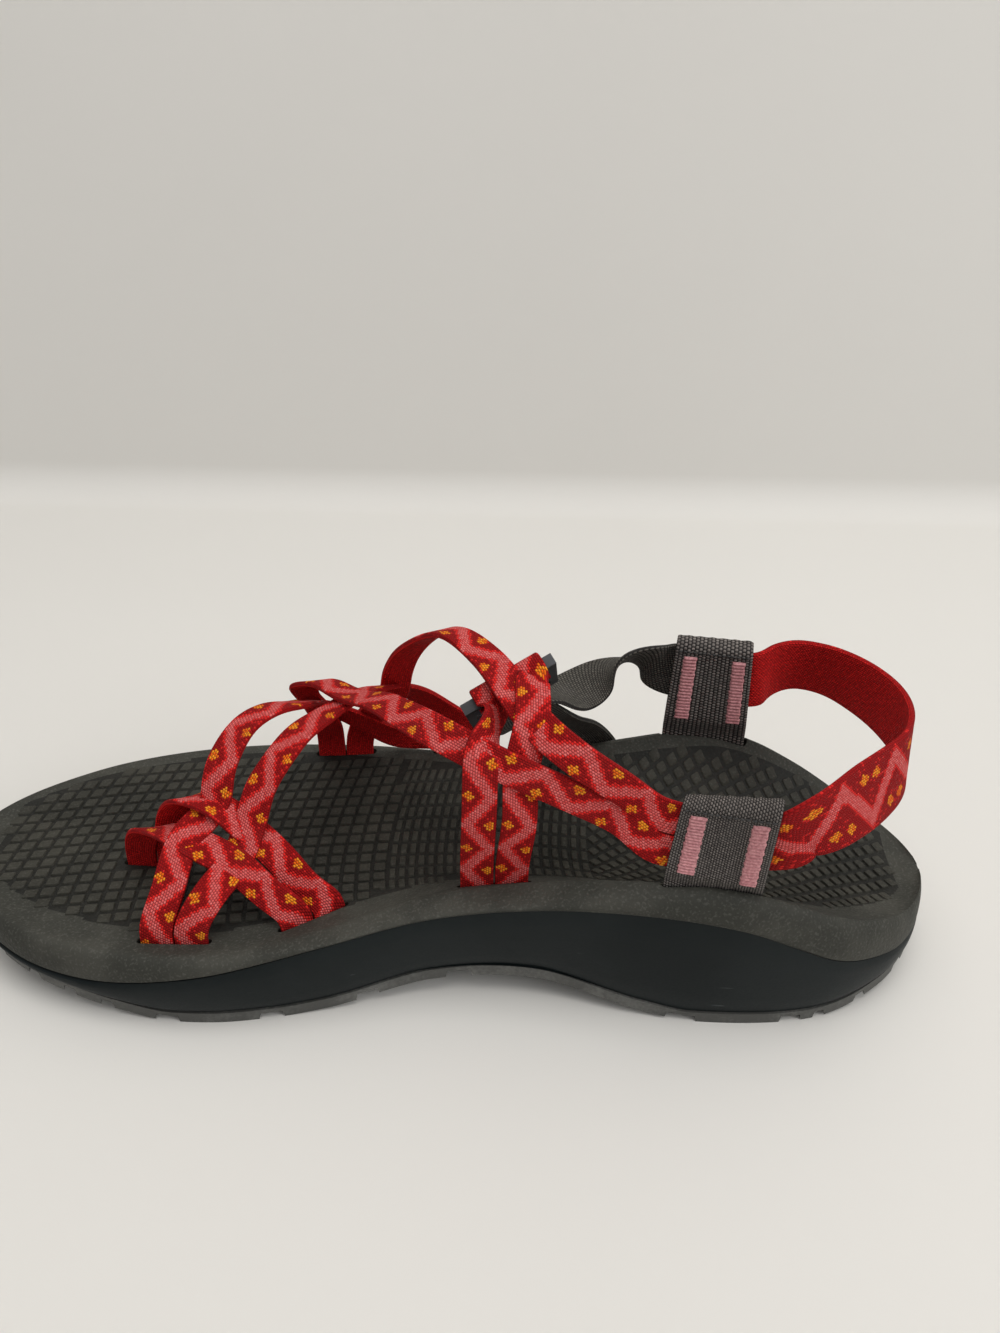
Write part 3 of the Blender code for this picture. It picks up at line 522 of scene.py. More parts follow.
def midsole_skin():
    along = stations(240)[:, None]
    s = Sections(along)
    up = np.linspace(0, 1, 9)[None, :]
    swell = SIDE_SWELL * np.sin(np.pi * up) ** 0.8
    turn = SIDE_ROUND * (np.clip(1 - up / 0.06, 0, 1) ** 2 + np.clip(1 - (1 - up) / 0.06, 0, 1) ** 2)
    low_medial = s.tread_medial + OUTSOLE_THICK + SEAM_GAP
    low_lateral = s.tread_lateral + OUTSOLE_THICK + SEAM_GAP
    high_medial = s.interface(s.medial) - SEAM_GAP / 2
    high_lateral = s.interface(s.lateral) - SEAM_GAP / 2
    narrow = np.clip((s.medial - s.lateral) / 0.02, 0, 1)
    medial = s.foot_medial + (s.medial - s.foot_medial) * up + (swell - turn) * narrow
    lateral = s.foot_lateral + (s.lateral - s.foot_lateral) * up - (swell - turn) * narrow
    medial = np.stack([s.x + 0 * up, medial, low_medial + (high_medial - low_medial) * up], -1)
    lateral = np.stack([s.x + 0 * up, lateral, low_lateral + (high_lateral - low_lateral) * up], -1)
    inner = np.linspace(0.03, 0.97, 25)[None, :]
    y = s.medial + (s.lateral - s.medial) * inner
    top = np.stack([s.x + 0 * y, y, s.interface(y) - SEAM_GAP / 2], -1)
    y = y[:, ::-1]
    base = np.stack([s.x + 0 * y, y, s.tread(y) + OUTSOLE_THICK + SEAM_GAP], -1)
    return np.concatenate([medial, top, lateral[:, ::-1], base], 1)


midsole = crisp(closed_loft("midsole_foam", midsole_skin(), [side_foam]), 40)
print("midsole:", len(midsole.data.polygons), "faces")

# %% [markdown]
# The footbed
#
# The footbed is a moulded bowl with a raised, rounded rim. Slots go down through it for the straps, and they
# are cut by Boolean from a smooth skin. The straps stand in them, a pair to a slot.

# %% Footbed and slots
STRAP_WIDTH = 0.0088
STRAP_THICK = 0.0015
PAIR_GAP = 0.0003
WEB_THICK = 0.0012
RISER_WIDTH = 0.0245
STRAP_SINK = 0.006
STRAP_REACH = 0.002
SLOT_CLEAR = 0.00035
SLOT_END = 0.001
SLOT_FLOOR = 0.001
LIP_ROUND = 0.0006
SMOOTH_RIM_MEDIAL = 0.0095
SMOOTH_RIM_LATERAL = 0.0030
SMOOTH_ENDS = 0.0075

SLOTS = {
    "ball_medial": (0.744, 0.390, 0.0, 2),
    "toe_medial": (0.615, 0.306, 32.0, 2),
    "arch_medial": (0.440, 0.252, 0.0, 2),
    "riser_medial": (0.239, 0.352, 0.0, 0),
    "toe_loop": (0.798, 0.070, 0.0, 2),
    "ball_lateral": (0.629, -0.450, 0.0, 2),
    "arch_lateral": (0.487, -0.428, 0.0, 2),
    "riser_lateral": (0.217, -0.335, -5.0, 0),
}


def footbed_skin():
    along = stations(260)[:, None]
    s = Sections(along)
    turn = np.radians(np.linspace(0, 90, 9))[None, :]
    belt_medial = s.interface(s.medial) + SEAM_GAP / 2 + LIP_ROUND
    belt_lateral = s.interface(s.lateral) + SEAM_GAP / 2 + LIP_ROUND

    def rim(crest, height, edge, belt):
        y = crest + (edge - crest) * np.sin(turn)
        return np.stack([s.x + 0 * y, y, belt + (height - belt) * np.cos(turn)], -1)

    medial = rim(s.crest_medial, s.rim_medial, s.medial, belt_medial)[:, ::-1]
    lateral = rim(s.crest_lateral, s.rim_lateral, s.lateral, belt_lateral)
    share = np.linspace(0.97, -0.97, 69)[None, :]
    y = (s.crest_medial + s.crest_lateral) / 2 + (s.crest_medial - s.crest_lateral) / 2 * share
    bowl = np.stack([s.x + 0 * y, y, s.bowl(y)], -1)
    inner = np.linspace(-0.985, 0.985, 31)[None, :]
    y = (s.medial + s.lateral) / 2 + (s.medial - s.lateral) / 2 * inner
    under = np.stack([s.x + 0 * y, y, s.interface(y) + SEAM_GAP / 2], -1)
    return np.concatenate([medial, bowl, lateral, under], 1)


def pad_room(x, y):
    """How far inside the pressed part of the bed a place lies, below 0 on the smooth rim round it."""
    s = Sections(x / LENGTH + 0.5)
    rim = np.where(y > 0, SMOOTH_RIM_MEDIAL, SMOOTH_RIM_LATERAL)
    inside = np.minimum(s.crest_medial - y, y - s.crest_lateral) - rim
    return np.minimum(inside, LENGTH / 2 - SMOOTH_ENDS - np.abs(x))


def slot_place(name):
    """Middle of a slot, its direction towards the toe, and its clear length and width."""
    along, across, skew, straps = SLOTS[name]
    centre = np.array([(along - 0.5) * LENGTH, across * BALL_WIDTH, 0])
    turn = math.radians(skew)
    length = straps * STRAP_WIDTH + (straps - 1) * PAIR_GAP if straps else RISER_WIDTH
    width = STRAP_THICK if straps else 2 * WEB_THICK + SEAM_GAP
    direction = np.array([math.cos(turn), math.sin(turn), 0])
    return centre, direction, length + 2 * SLOT_END, width + 2 * SLOT_CLEAR


def slot_bottom(name):
    centre, direction, length, width = slot_place(name)
    ends = [centre + direction * length / 2 * side for side in (-1, 0, 1)]
    return min(float(bed_height(e[0], e[1])) for e in ends) - STRAP_SINK - SLOT_FLOOR


def slot_cutter(name):
    """A slot with round ends, as a cutter from below the footbed to above its rim."""
    centre, direction, length, width = slot_place(name)
    across = np.array([-direction[1], direction[0], 0])
    straight = (length - width) / 2
    ring = []
    for end in (1, -1):
        for degrees in np.linspace(-90, 90, 9):
            turn = math.radians(degrees)
            out = direction * (straight + math.cos(turn) * width / 2) * end
            ring.append(centre + out + across * math.sin(turn) * width / 2 * end)
    low = slot_bottom(name)
    rings = np.array([[p + (0, 0, z) for p in ring] for z in (low, 2 * RIM_HEIGHT)])
    return closed_loft("cutter_" + name, rings, [])


def cut_slots(body):
    cutters = [slot_cutter(name) for name in SLOTS]
    for cutter in cutters:
        modifier = body.modifiers.new(cutter.name, "BOOLEAN")
        modifier.operation = "DIFFERENCE"
        modifier.solver = "EXACT"
        modifier.object = cutter
    graph = bpy.context.evaluated_depsgraph_get()
    cut = bpy.data.meshes.new_from_object(body.evaluated_get(graph))
    body.modifiers.clear()
    body.data = cut
    for cutter in cutters:
        bpy.data.objects.remove(cutter)


footbed = closed_loft("footbed_bowl", footbed_skin(), [rim_rubber, groove_painted_shade_rubber])
# Upward faces of the pressed part take the darker rubber, painted shade between the pads.
for face in footbed.data.polygons:
    x, y, z = face.center
    if face.normal.z > 0.5 and pad_room(x, y - frame_shift) > 0:
        face.material_index = 1
cut_slots(footbed)
cut_slots(midsole)
crisp(footbed, 38)
crisp(midsole, 40)
print("footbed:", len(footbed.data.polygons), "faces, slots:", len(SLOTS))

# %% [markdown]
# The pressed relief
#
# The bed carries hundreds of small raised pads in curved rows: squares under the forefoot, finer ones at the
# arch and diamonds at the heel. A displaced grid would need millions of points to keep their edges sharp.
# Each pad is built by itself instead, a low plateau with rounded corners and sloping sides that follows the
# bowl, and all of them are joined in one mesh. The ground between them is a darker rubber, painted shade
# in the grooves between the pads.

# %% Raised pads
PAD_RISE = 0.00062
PAD_SLOPE = 0.0003
PAD_STEPS = ((0.0, -0.4), (0.55, 0.75), (1.0, 1.0))
PAD_LOW = 0.45
PAD_FULL = 0.008
PAD_MARGIN = 0.0005
PAD_SLOT_MARGIN = 0.0003
ROW_BOW = 3.4
ROW_SWAY = 1.6
SWAY_FROM = 0.02
SWAY_SHIFT = 0.004
PAD_ZONES = (
    # from, to: shares of the length. along, across: a pad's pitch. groove: gap between pads. turn: degrees.
    # from   to     along   across  groove   turn
    (0.555, 1.000, 0.0043, 0.0043, 0.00080, 0),
    (0.345, 0.555, 0.0027, 0.0054, 0.00075, 0),
    (0.000, 0.345, 0.0036, 0.0036, 0.00080, 45),
)


def pad_grid():
    """Corners of the pads in plan, four to a pad: rows curve round the ball of the foot."""
    corners = []
    for start, end, pitch_along, pitch_across, groove, degrees in PAD_ZONES:
        turn = math.radians(degrees)
        reach = int(LENGTH / 1.8 / min(pitch_along, pitch_across))
        for i in range(-reach, reach + 1):
            for j in range(-reach, reach + 1):
                along, across = i * pitch_along, j * pitch_across
                u = along * math.cos(turn) - across * math.sin(turn)
                v = along * math.sin(turn) + across * math.cos(turn)
                x, y = warp(u, v)
                if abs(y) > BALL_WIDTH * 0.55 or not start < x / LENGTH + 0.5 < end:
                    continue
                square = []
                for a, b in ((-1, -1), (1, -1), (1, 1), (-1, 1)):
                    du = a * (pitch_along - groove) / 2
                    dv = b * (pitch_across - groove) / 2
                    to_corner_u = du * math.cos(turn) - dv * math.sin(turn)
                    to_corner_v = du * math.sin(turn) + dv * math.cos(turn)
                    square.append(warp(u + to_corner_u, v + to_corner_v))
                corners.append(square)
    return np.array(corners)


def warp(u, v):
    """Bends the even grid: lines across bow towards the toe, and lines along follow the sandal's curve."""
    x = u - ROW_BOW * v * v
    y = v + ROW_SWAY * (u - SWAY_FROM) ** 2 - SWAY_SHIFT
    return x, y


def in_slot(x, y, margin):
    """True where a place lies in a slot or beside it."""
    found = np.zeros(np.shape(x), bool)
    for name in SLOTS:
        centre, direction, length, width = slot_place(name)
        dx, dy = x - centre[0], y - centre[1]
        along = dx * direction[0] + dy * direction[1]
        across = -dx * direction[1] + dy * direction[0]
        found |= (np.abs(along) < length / 2 + margin) & (np.abs(across) < width / 2 + margin)
    return found


def pads():
    """All pads as one mesh: a rounded top, a sloping side and a foot just under the bowl."""
    corners = pad_grid()
    middle = corners.mean(1)
    room = pad_room(*middle.T)
    keep = (room > PAD_MARGIN) & ~in_slot(corners[..., 0], corners[..., 1], PAD_SLOT_MARGIN).any(1)
    corners, middle, room = corners[keep], middle[keep], room[keep]
    rise = PAD_RISE * np.clip(PAD_LOW + room / PAD_FULL, 0, 1)
    points, faces = [], []
    side = np.roll(corners, -1, 1) - corners
    side /= np.linalg.norm(side, axis=2, keepdims=True)
    back = np.roll(side, 1, 1)
    half_pad = np.linalg.norm(corners[:, 1] - corners[:, 0], axis=1)[:, None, None] / 2
    for inset, lift in PAD_STEPS:
        pulled = corners + (middle[:, None] - corners) * (inset * PAD_SLOPE / half_pad)
        for step in (pulled - back * PAD_SLOPE, pulled + side * PAD_SLOPE):
            x, y = step[..., 0], step[..., 1]
            z = bed_height(x, y) + rise[:, None] * lift
            points.append(np.stack([x, y, z], -1))
    points = np.array(points)
    rings = [np.stack([points[2 * k], points[2 * k + 1]], 2).reshape(len(corners), 8, 3) for k in range(3)]
    top = np.concatenate([middle, (bed_height(*middle.T) + rise)[:, None]], 1)[:, None]
    block = np.concatenate(rings + [top], 1)
    faces = ring_faces(3, 8)
    faces += [(16 + k, 16 + (k + 1) % 8, 24) for k in range(8)]
    everything = []
    for k in range(len(block)):
        everything += [tuple(v + 25 * k for v in face) for face in faces]
    return block.reshape(-1, 3), everything, len(block)


pad_points, pad_faces, pad_count = pads()
footbed_pads = add_mesh("footbed_pads", pad_points, pad_faces, [pad_rubber])
crisp(footbed_pads, 30)
print("pads:", pad_count)

# %% [markdown]
# Woven straps
#
# The straps are narrow jacquard ribbons: a pink zigzag on a red ground, with small orange flecks in its
# bays, and plain red on the back. A strap's mesh carries its own coordinates, how far along and how far
# across in millimetres, and the pattern is worked out from those two numbers, stepped to the size of one
# yarn, so that it bends and turns with the strap.

# %% Strap finishes
YARN_ALONG = 0.80
YARN_ACROSS = 0.62
TWILL = 0.34
PINK = (0.90, 0.190, 0.180)
PINK_DARK = (0.74, 0.085, 0.080)
CRIMSON = (0.330, 0.006, 0.006)
RED = (0.82, 0.026, 0.022)
ORANGE = (0.92, 0.160, 0.008)
AMBER = (0.98, 0.330, 0.020)
BACK_RED = (0.88, 0.022, 0.020)
BACK_DARK = (0.46, 0.008, 0.008)
FIBRE_GLOSS = 0.12


def weave_place(tree):
    """How far along and across the strap, in millimetres."""
    weave = Wire.node(tree, "ShaderNodeUVMap", {"uv_map": "weave"})
    parts = weave.make("ShaderNodeSeparateXYZ", None, {0: weave})
    return parts, Wire(parts.socket.node.outputs[1])


def yarns(along, across, pitch_along, pitch_across, shift=0.5):
    """Height of short yarns, each column shifted from its neighbour, and which yarn a place is on."""
    column = (across / pitch_across).floor()
    shifted = along / pitch_along + column * shift
    row = shifted.floor()
    u = shifted - row
    v = across / pitch_across - column
    height = (u * math.pi).sine() * (v * math.pi).sine()
    return height, (row - column * shift + 0.5) * pitch_along, (column + 0.5) * pitch_across


def zigzag_paint(period, swing, band, fleck, flecks):
    """A zigzag band on a red ground, with flecks in each bay. All sizes in millimetres."""
    def paint(tree):
        along, across = weave_place(tree)
        height, u, v = yarns(along, across, YARN_ALONG, YARN_ACROSS, TWILL)
        centre = (u.zigzag(period) * 2 - 1) * swing
        off = (v - centre).size()
        inside = off.under(band)
        bay = swing * 0.86
        spots = []
        for shift in flecks:
            lower = ((u - shift) / period).math("FRACT") - 0.5
            upper = ((u - shift) / period + 0.5).math("FRACT") - 0.5
            spots.append(upper.size() * (period / fleck / 1.2) + (v - bay).size() / fleck)
            spots.append(lower.size() * (period / fleck / 1.2) + (v + bay).size() / fleck)
        spot = spots[0]
        for other in spots[1:]:
            spot = spot.smaller(other)
        strand = noise(along.make("ShaderNodeCombineXYZ", None, {0: u, 1: v}), 0.9, 2)
        ground = off.over(band + 0.9).mix(RED, CRIMSON)
        ground = (strand.over(0.60) * 0.7).mix(ground, RED)
        colour = inside.mix(ground, strand.ramp(0.35, 0.65).mix(PINK_DARK, PINK))
        colour = spot.under(1.0).mix(colour, strand.over(0.5).mix(ORANGE, AMBER))
        # Painted shade: the low places between the yarns are darkened towards a deep red.
        gap = height.ramp(0.0, 0.6, 0.72, 0.0)
        grime = noise(place_in(tree), 0.009).ramp(0.5, 0.85) * 0.22
        colour = gap.mix(colour, (0.15, 0.004, 0.006))
        return {
            "Base Color": grime.mix(colour, (0.26, 0.035, 0.032)),
            "Roughness": 0.70 + strand * 0.18,
            "Specular IOR Level": FIBRE_GLOSS,
            "Normal": bump(height, 0.00034, 0.9),
        }

    return paint


def back_paint(tree):
    """The plain back of a strap: red floats in fine ribs."""
    along, across = weave_place(tree)
    height, u, v = yarns(along, across, YARN_ALONG, YARN_ACROSS)
    strand = noise(along.make("ShaderNodeCombineXYZ", None, {0: u, 1: v}), 0.8, 2)
    # Painted shade: the low places between the yarns are darkened towards a deep red.
    gap = height.ramp(0.0, 0.65, 0.7, 0.0)
    return {
        "Base Color": gap.mix(strand.ramp(0.3, 0.7).mix(BACK_DARK, BACK_RED), (0.14, 0.003, 0.004)),
        "Roughness": 0.74 + strand * 0.14,
        "Specular IOR Level": FIBRE_GLOSS,
        "Normal": bump(height, 0.00032, 0.9),
    }


narrow_weave = finish("narrow_strap_weave", zigzag_paint(17.5, 3.1, 1.50, 1.50, (0.0,)))
wide_weave = finish("heel_strap_weave", zigzag_paint(22.0, 6.0, 2.2, 1.7, (-2.6, 2.6)))
strap_back = finish("strap_back_weave", back_paint)

# %% [markdown]
# Where the straps run
#
# Each strand starts and ends in a slot of the footbed and passes a few places on its way. Where two strands
# cross they share one named crossing, the upper one lying a little out and the lower one a little in. The
# places are shares of the length, the ball width and the instep height, as in the solids.

# %% Crossings and strands
LAY = 0.38
KNOTS = {
    "ball_toe over loop_front": (0.741, 0.208, 0.461),
    "loop_front over ball_heel": (0.692, 0.250, 0.405),
    "ball_heel over loop_rear": (0.682, 0.167, 0.464),
    "loop_rear over ball_toe": (0.718, 0.135, 0.526),
    "arch_toe over heel_low": (0.4515, 0.252, 0.830),
    "heel_low over arch_heel": (0.416, 0.270, 0.793),
    "arch_heel over heel_high": (0.407, 0.200, 0.922),
    "heel_low over ball_heel": (0.596, -0.146, 0.725),
    "ball_toe over heel_low": (0.645, -0.312, 0.569),
    "ball_heel over heel_high": (0.557, -0.292, 0.657),
    "heel_high over ball_toe": (0.598, -0.400, 0.440),
}
STRANDS = {
    "ball_toe": (("ball_medial", "toe"), (
        ((0.750, 0.330, 0.369), 18),
        ("ball_toe over loop_front", 38),
        ("loop_rear over ball_toe", 58),
        ((0.713, 0.083, 0.615), 70),
        ((0.705, 0.026, 0.667), 80),
        ((0.693, -0.026, 0.705), 92),
        ((0.675, -0.088, 0.712), 103),
        ((0.655, -0.170, 0.672), 115),
        ("ball_toe over heel_low", 135),
        ("heel_high over ball_toe", 158),
        ((0.570, -0.437, 0.352), 172),
    ), ("arch_lateral", "toe")),
    "ball_heel": (("ball_medial", "heel"), (
        ((0.706, 0.323, 0.380), 18),
        ("loop_front over ball_heel", 38),
        ("ball_heel over loop_rear", 52),
        ((0.671, 0.115, 0.580), 65),
        ((0.655, 0.063, 0.648), 78),
        ((0.638, -0.010, 0.690), 92),
        ((0.618, -0.083, 0.700), 103),
        ("heel_low over ball_heel", 112),
        ("ball_heel over heel_high", 138),
        ((0.513, -0.417, 0.494), 165),
    ), ("arch_lateral", "heel")),
    "loop_front": (("toe_medial", "toe"), (
        ((0.656, 0.302, 0.340), 28),
        ("loop_front over ball_heel", 52),
        ("ball_toe over loop_front", 78),
        ((0.766, 0.156, 0.437), 100),
        ((0.796, 0.110, 0.388), 135),
    ), ("toe_loop", "toe")),
    "loop_rear": (("toe_medial", "heel"), (
        ((0.623, 0.255, 0.323), 28),
        ((0.650, 0.214, 0.398), 48),
        ("ball_heel over loop_rear", 68),
        ("loop_rear over ball_toe", 88),
        ((0.747, 0.100, 0.516), 112),
        ((0.768, 0.075, 0.440), 155),
    ), ("toe_loop", "heel")),
}


def point(place):
    along, across, rise = place
    return np.array([(along - 0.5) * LENGTH, across * BALL_WIDTH, rise * INSTEP_HEIGHT])


def facing(degrees, skew=0.0):
    """Outward direction of a strap: 0 looks medial, 90 up and 180 lateral, turned by the slot's skew."""
    lean, turn = math.radians(degrees), math.radians(skew)
    return np.array([-math.sin(turn) * math.cos(lean), math.cos(turn) * math.cos(lean), math.sin(lean)])


def slot_rows(slot, half, lean):
    """A strap's straight end in its slot, from the end up."""
    centre, direction, length, width = slot_place(slot)
    side = (STRAP_WIDTH + PAIR_GAP) / 2 * (1 if half == "toe" else -1)
    foot = centre + direction * side
    top = float(bed_height(foot[0], foot[1]))
    depth = slot_bottom(slot) + SLOT_FLOOR
    out = facing(lean, SLOTS[slot][2])
    heights = (depth, (depth + top) / 2, top, top + STRAP_REACH)
    return [(np.array([foot[0], foot[1], z]), out) for z in heights]


def strand_rows(name, rows):
    made = []
    for place, lean in rows:
        out = facing(lean)
        if isinstance(place, str):
            lay = LAY if place.split(" over ")[0] == name else -LAY
            made.append((point(KNOTS[place]) + out * lay * STRAP_THICK, out))
        else:
            made.append((point(place), out))
    return made


# %% [markdown]
# A ribbon along its rows
#
# A woven strap is flat, but its edges are round where the weft turns back. The cross section is a flat ring
# with half-round sides, placed every millimetre and a half on a smooth curve through the rows. The outer face
# carries the pattern, the inner face the plain back.

# %% Ribbons
RIBBON_STEP = 0.0013
BUCKLE_PLACE = (0.4305, 0.042, 0.916)
EASE = 0.0021
EASE_LEAST = 0.04
TIGHT_NEAR = 0.014
EDGE_TURNS = (-60, -20, 20, 60)


def section_ring(width, thick, across_steps):
    """Ring of (across, out) places, and the finish of each face: 0 outer, 1 inner."""
    edge = min(thick / 2, 0.0006)
    flat = width / 2 - edge
    outer = [(v, thick / 2) for v in np.linspace(-flat, flat, across_steps)]
    right = [(flat + edge * math.cos(math.radians(a)), thick / 2 * math.sin(math.radians(a)))
             for a in EDGE_TURNS[::-1]]
    inner = [(v, -thick / 2) for v in np.linspace(flat, -flat, across_steps)]
    left = [(-v, out) for v, out in right[::-1]]
    ring = np.array(outer + right + inner + left)
    half = across_steps + len(EDGE_TURNS)
    faces = [0] * (across_steps + 1) + [1] * half + [0] * (half - across_steps - 1)
    return ring, faces


def relax(values, freedom, passes):
    """Draws each inner value towards the middle of its neighbours, as far as its freedom lets it."""
    values = values.copy()
    for _ in range(passes):
        values[1:-1] += freedom[1:-1, None] * ((values[:-2] + values[2:]) / 2 - values[1:-1])
    return values


def follow(rows, step):
    """Centres, side directions, outward directions and lengths run along a smooth curve near the rows.

    The strap is eased by about EASE away from the buckle, as cloth takes no sharp kinks.
    """
    places = np.array([row[0] for row in rows])
    outs = np.array([row[1] for row in rows])
    keys = np.concatenate([[0], np.cumsum(np.linalg.norm(np.diff(places, axis=0), axis=1))])
    at = np.linspace(0, keys[-1], max(2, int(keys[-1] / step) + 1))
    centres = smooth(keys, places, at)
    near_buckle = np.linalg.norm(centres - point(BUCKLE_PLACE), axis=1)
    freedom = np.clip((near_buckle - TIGHT_NEAR) / TIGHT_NEAR, EASE_LEAST, 1) / 2
    passes = round((EASE / step) ** 2 * 2)
    centres = relax(centres, freedom, passes)
    ahead = np.gradient(centres, at, axis=0)
    ahead /= np.linalg.norm(ahead, axis=1, keepdims=True)
    out = relax(smooth(keys, outs, at), freedom, 2 * passes)
    out -= ahead * (out * ahead).sum(1, keepdims=True)
    out /= np.linalg.norm(out, axis=1, keepdims=True)
    run = np.concatenate([[0], np.cumsum(np.linalg.norm(np.diff(centres, axis=0), axis=1))])
    return centres, np.cross(ahead, out), out, run


def ribbon(name, rows, width, thick, finishes, start=0.0, across_steps=9, step=RIBBON_STEP):
    centres, side, out, run = follow(rows, step)
    ring, face_finish = section_ring(width, thick, across_steps)
    rings = (
        centres[:, None]
        + side[:, None] * ring[None, :, :1]
        + out[:, None] * ring[None, :, 1:]
    )
    along = np.broadcast_to(run[:, None] * 1000 + start, rings.shape[:2])
    across = np.broadcast_to(ring[None, :, 0] * 1000, rings.shape[:2])
    weave = np.stack([along, across], -1).reshape(-1, 2)
    print(f"{name}: {run[-1] * 1000:.0f} x {width * 1000:.1f} x {thick * 1000:.2f} mm")
    return closed_loft(name, rings, finishes, face_finish, weave)


# %% [markdown]
# Risers
#
# At each side of the heel a loop of grey webbing comes up from its slot, folds over and goes back down, with
# the heel strap held between its two layers. It is one strip of webbing, so its skin is one folded sheet with
# thickness: six soft ribs run up it, and its edges are thinner where the selvedge is.

# %% Riser form
HEEL_STRAP_WIDTH = 0.019
STACK = 2.3 * STRAP_THICK
RISER_TOPS = {
    "riser_medial": ((0.272, 0.312, 0.772), (0.198, 0.427, 0.853), 1),
    "riser_lateral": ((0.256, -0.345, 0.855), (0.180, -0.300, 0.862), -1),
}
RIBS = 6.5
RIB_HEIGHT = 0.00016


def unit(v):
    return v / np.linalg.norm(v)


class Riser:
    def __init__(self, slot, toe_top, heel_top, outer):
        centre, direction, length, width = slot_place(slot)
        half = direction * RISER_WIDTH / 2
        self.feet = [centre + half, centre - half]
        for foot in self.feet:
            foot[2] = float(bed_height(foot[0], foot[1])) + STRAP_REACH
        self.tops = [point(toe_top), point(heel_top)]
        self.slot = slot
        self.outer = np.array([0, outer, 0])

    def at(self, back, up):
        """back is 0 at the toe edge and 1 at the heel edge, up is 0 at the slot and 1 at the fold."""
        foot = self.feet[0] * (1 - back) + self.feet[1] * back
        top = self.tops[0] * (1 - back) + self.tops[1] * back
        return foot * (1 - up) + top * up

    def out(self, back):
        normal = unit(np.cross(self.at(1, 0.6) - self.at(0, 0.6), self.at(back, 1) - self.at(back, 0)))
        return normal if normal @ self.outer > 0 else -normal

    def layer(self, back, up, shift):
        """A place beside the riser's middle surface, where one of two layers lies, and its direction."""
        out = self.out(back)
        return self.at(back, up) + out * shift, out

    def room(self, up):
        """Half the gap between the two layers."""
        full = STACK / 2 + SEAM_GAP
        return float(np.interp(up, (0.0, 0.07, 0.16, 1.0), (SEAM_GAP / 2, 0.5 * full, full, full)))

    def profile(self, back):
        """The sheet's middle line from the outer layer's foot over the fold to the inner layer's foot."""
        foot, top, out = self.at(back, 0), self.at(back, 1), self.out(back)
        rise = unit(top - foot)
        height = np.linalg.norm(top - foot)
        sink = np.array([0, 0, slot_bottom(self.slot) + SLOT_FLOOR - foot[2]])
        full = self.room(1) + WEB_THICK / 2
        fold = top - rise * (full + WEB_THICK / 2)
        reach = (fold - foot) @ rise / height
        ups = np.concatenate([[0.0, 0.03, 0.07, 0.11, 0.16], np.linspace(0.22, reach, 9)])
        line, normals = [(foot + sink, 1.0, SEAM_GAP / 2 + WEB_THICK / 2)], []
        line += [(foot + rise * height * up, 1.0, self.room(up) + WEB_THICK / 2) for up in ups]
        outer = [p + out * half for p, _, half in line]
        inner = [p - out * half for p, _, half in line[::-1]]
        normals = [out] * len(outer)
        arc, arc_normals = [], []
        for degrees in (18, 36, 54, 72, 90, 108, 126, 144, 162):
            turn = math.radians(degrees)
            way = out * math.cos(turn) + rise * math.sin(turn)
            arc.append(fold + way * full)
            arc_normals.append(way)
        points = np.array(outer + arc + inner)
        normals = np.array(normals + arc_normals + [-out] * len(inner))
        return points, normals


def rib_height(back):
    """Ribs across the webbing, thinner at both selvedges."""
    rib = 0.5 + 0.5 * math.cos(2 * math.pi * RIBS * back)
    edge = min(back, 1 - back) * RISER_WIDTH
    return RIB_HEIGHT * rib - 0.0003 * max(0.0, 1 - edge / 0.0007)


def riser_skin(name, riser, finish_used):
    backs = np.concatenate([[0.0, 0.012], np.linspace(0.03, 0.97, 60), [0.988, 1.0]])
    rings, places = [], []
    for back in backs:
        line, normals = riser.profile(back)
        half = WEB_THICK / 2 - 0.00016 + rib_height(back)
        run = np.concatenate([[0], np.cumsum(np.linalg.norm(np.diff(line, axis=0), axis=1))]) * 1000
        rings.append(np.concatenate([line + normals * half, (line - normals * half)[::-1]]))
        across = (back - 0.5) * RISER_WIDTH * 1000
        places.append(np.stack([np.concatenate([run, run[::-1]]), np.full(2 * len(run), across)], -1))
    made = closed_loft(name, np.array(rings), [finish_used], weave=np.array(places).reshape(-1, 2))
    return crisp(made, 60)


# %% [markdown]
# Webbing
#
# Plain nylon webbing is a tight twill of grey and darker yarns, which reads as fine pale dots. The thread of
# the bar tacks is a satin, mauve pink, and lies in close parallel floats.


# %% Webbing and thread finishes
def webbing_paint(pitch_along, pitch_across, shift, pale):
    """Pale yarns on a dark ground. Pitches in millimetres, and each column shifted from its neighbour."""
    def paint(tree):
        along, across = weave_place(tree)
        height, u, v = yarns(along, across, pitch_along, pitch_across, shift)
        strand = noise(along.make("ShaderNodeCombineXYZ", None, {0: u, 1: v}), 0.7, 2)
        base = strand.ramp(0.3, 0.7).mix(tuple(0.55 * c for c in pale), pale)
        colour = height.ramp(0.18, 0.62).mix((0.026, 0.024, 0.023), base)
        worn = noise(place_in(tree), 0.007).ramp(0.45, 0.8) * 0.25
        return {
            "Base Color": worn.mix(colour, (0.12, 0.112, 0.104)),
            "Roughness": 0.72 + strand * 0.18,
            "Specular IOR Level": FIBRE_GLOSS,
            "Normal": bump(height, 0.00036, 0.9),
        }

    return paint


def thread_paint(tree):
    place = place_in(tree)
    fine = noise(place, 0.0006, 2)
    colour = fine.ramp(0.3, 0.7).mix((0.44, 0.165, 0.18), (0.66, 0.31, 0.32))
    return {"Base Color": colour, "Roughness": 0.45 + fine * 0.2, "Normal": bump(fine, 0.0001, 0.5)}


def hem_paint(tree):
    fine = noise(place_in(tree), 0.0005, 2)
    colour = fine.mix((0.018, 0.017, 0.017), (0.05, 0.047, 0.045))
    return {"Base Color": colour, "Roughness": 0.6 + fine * 0.2}


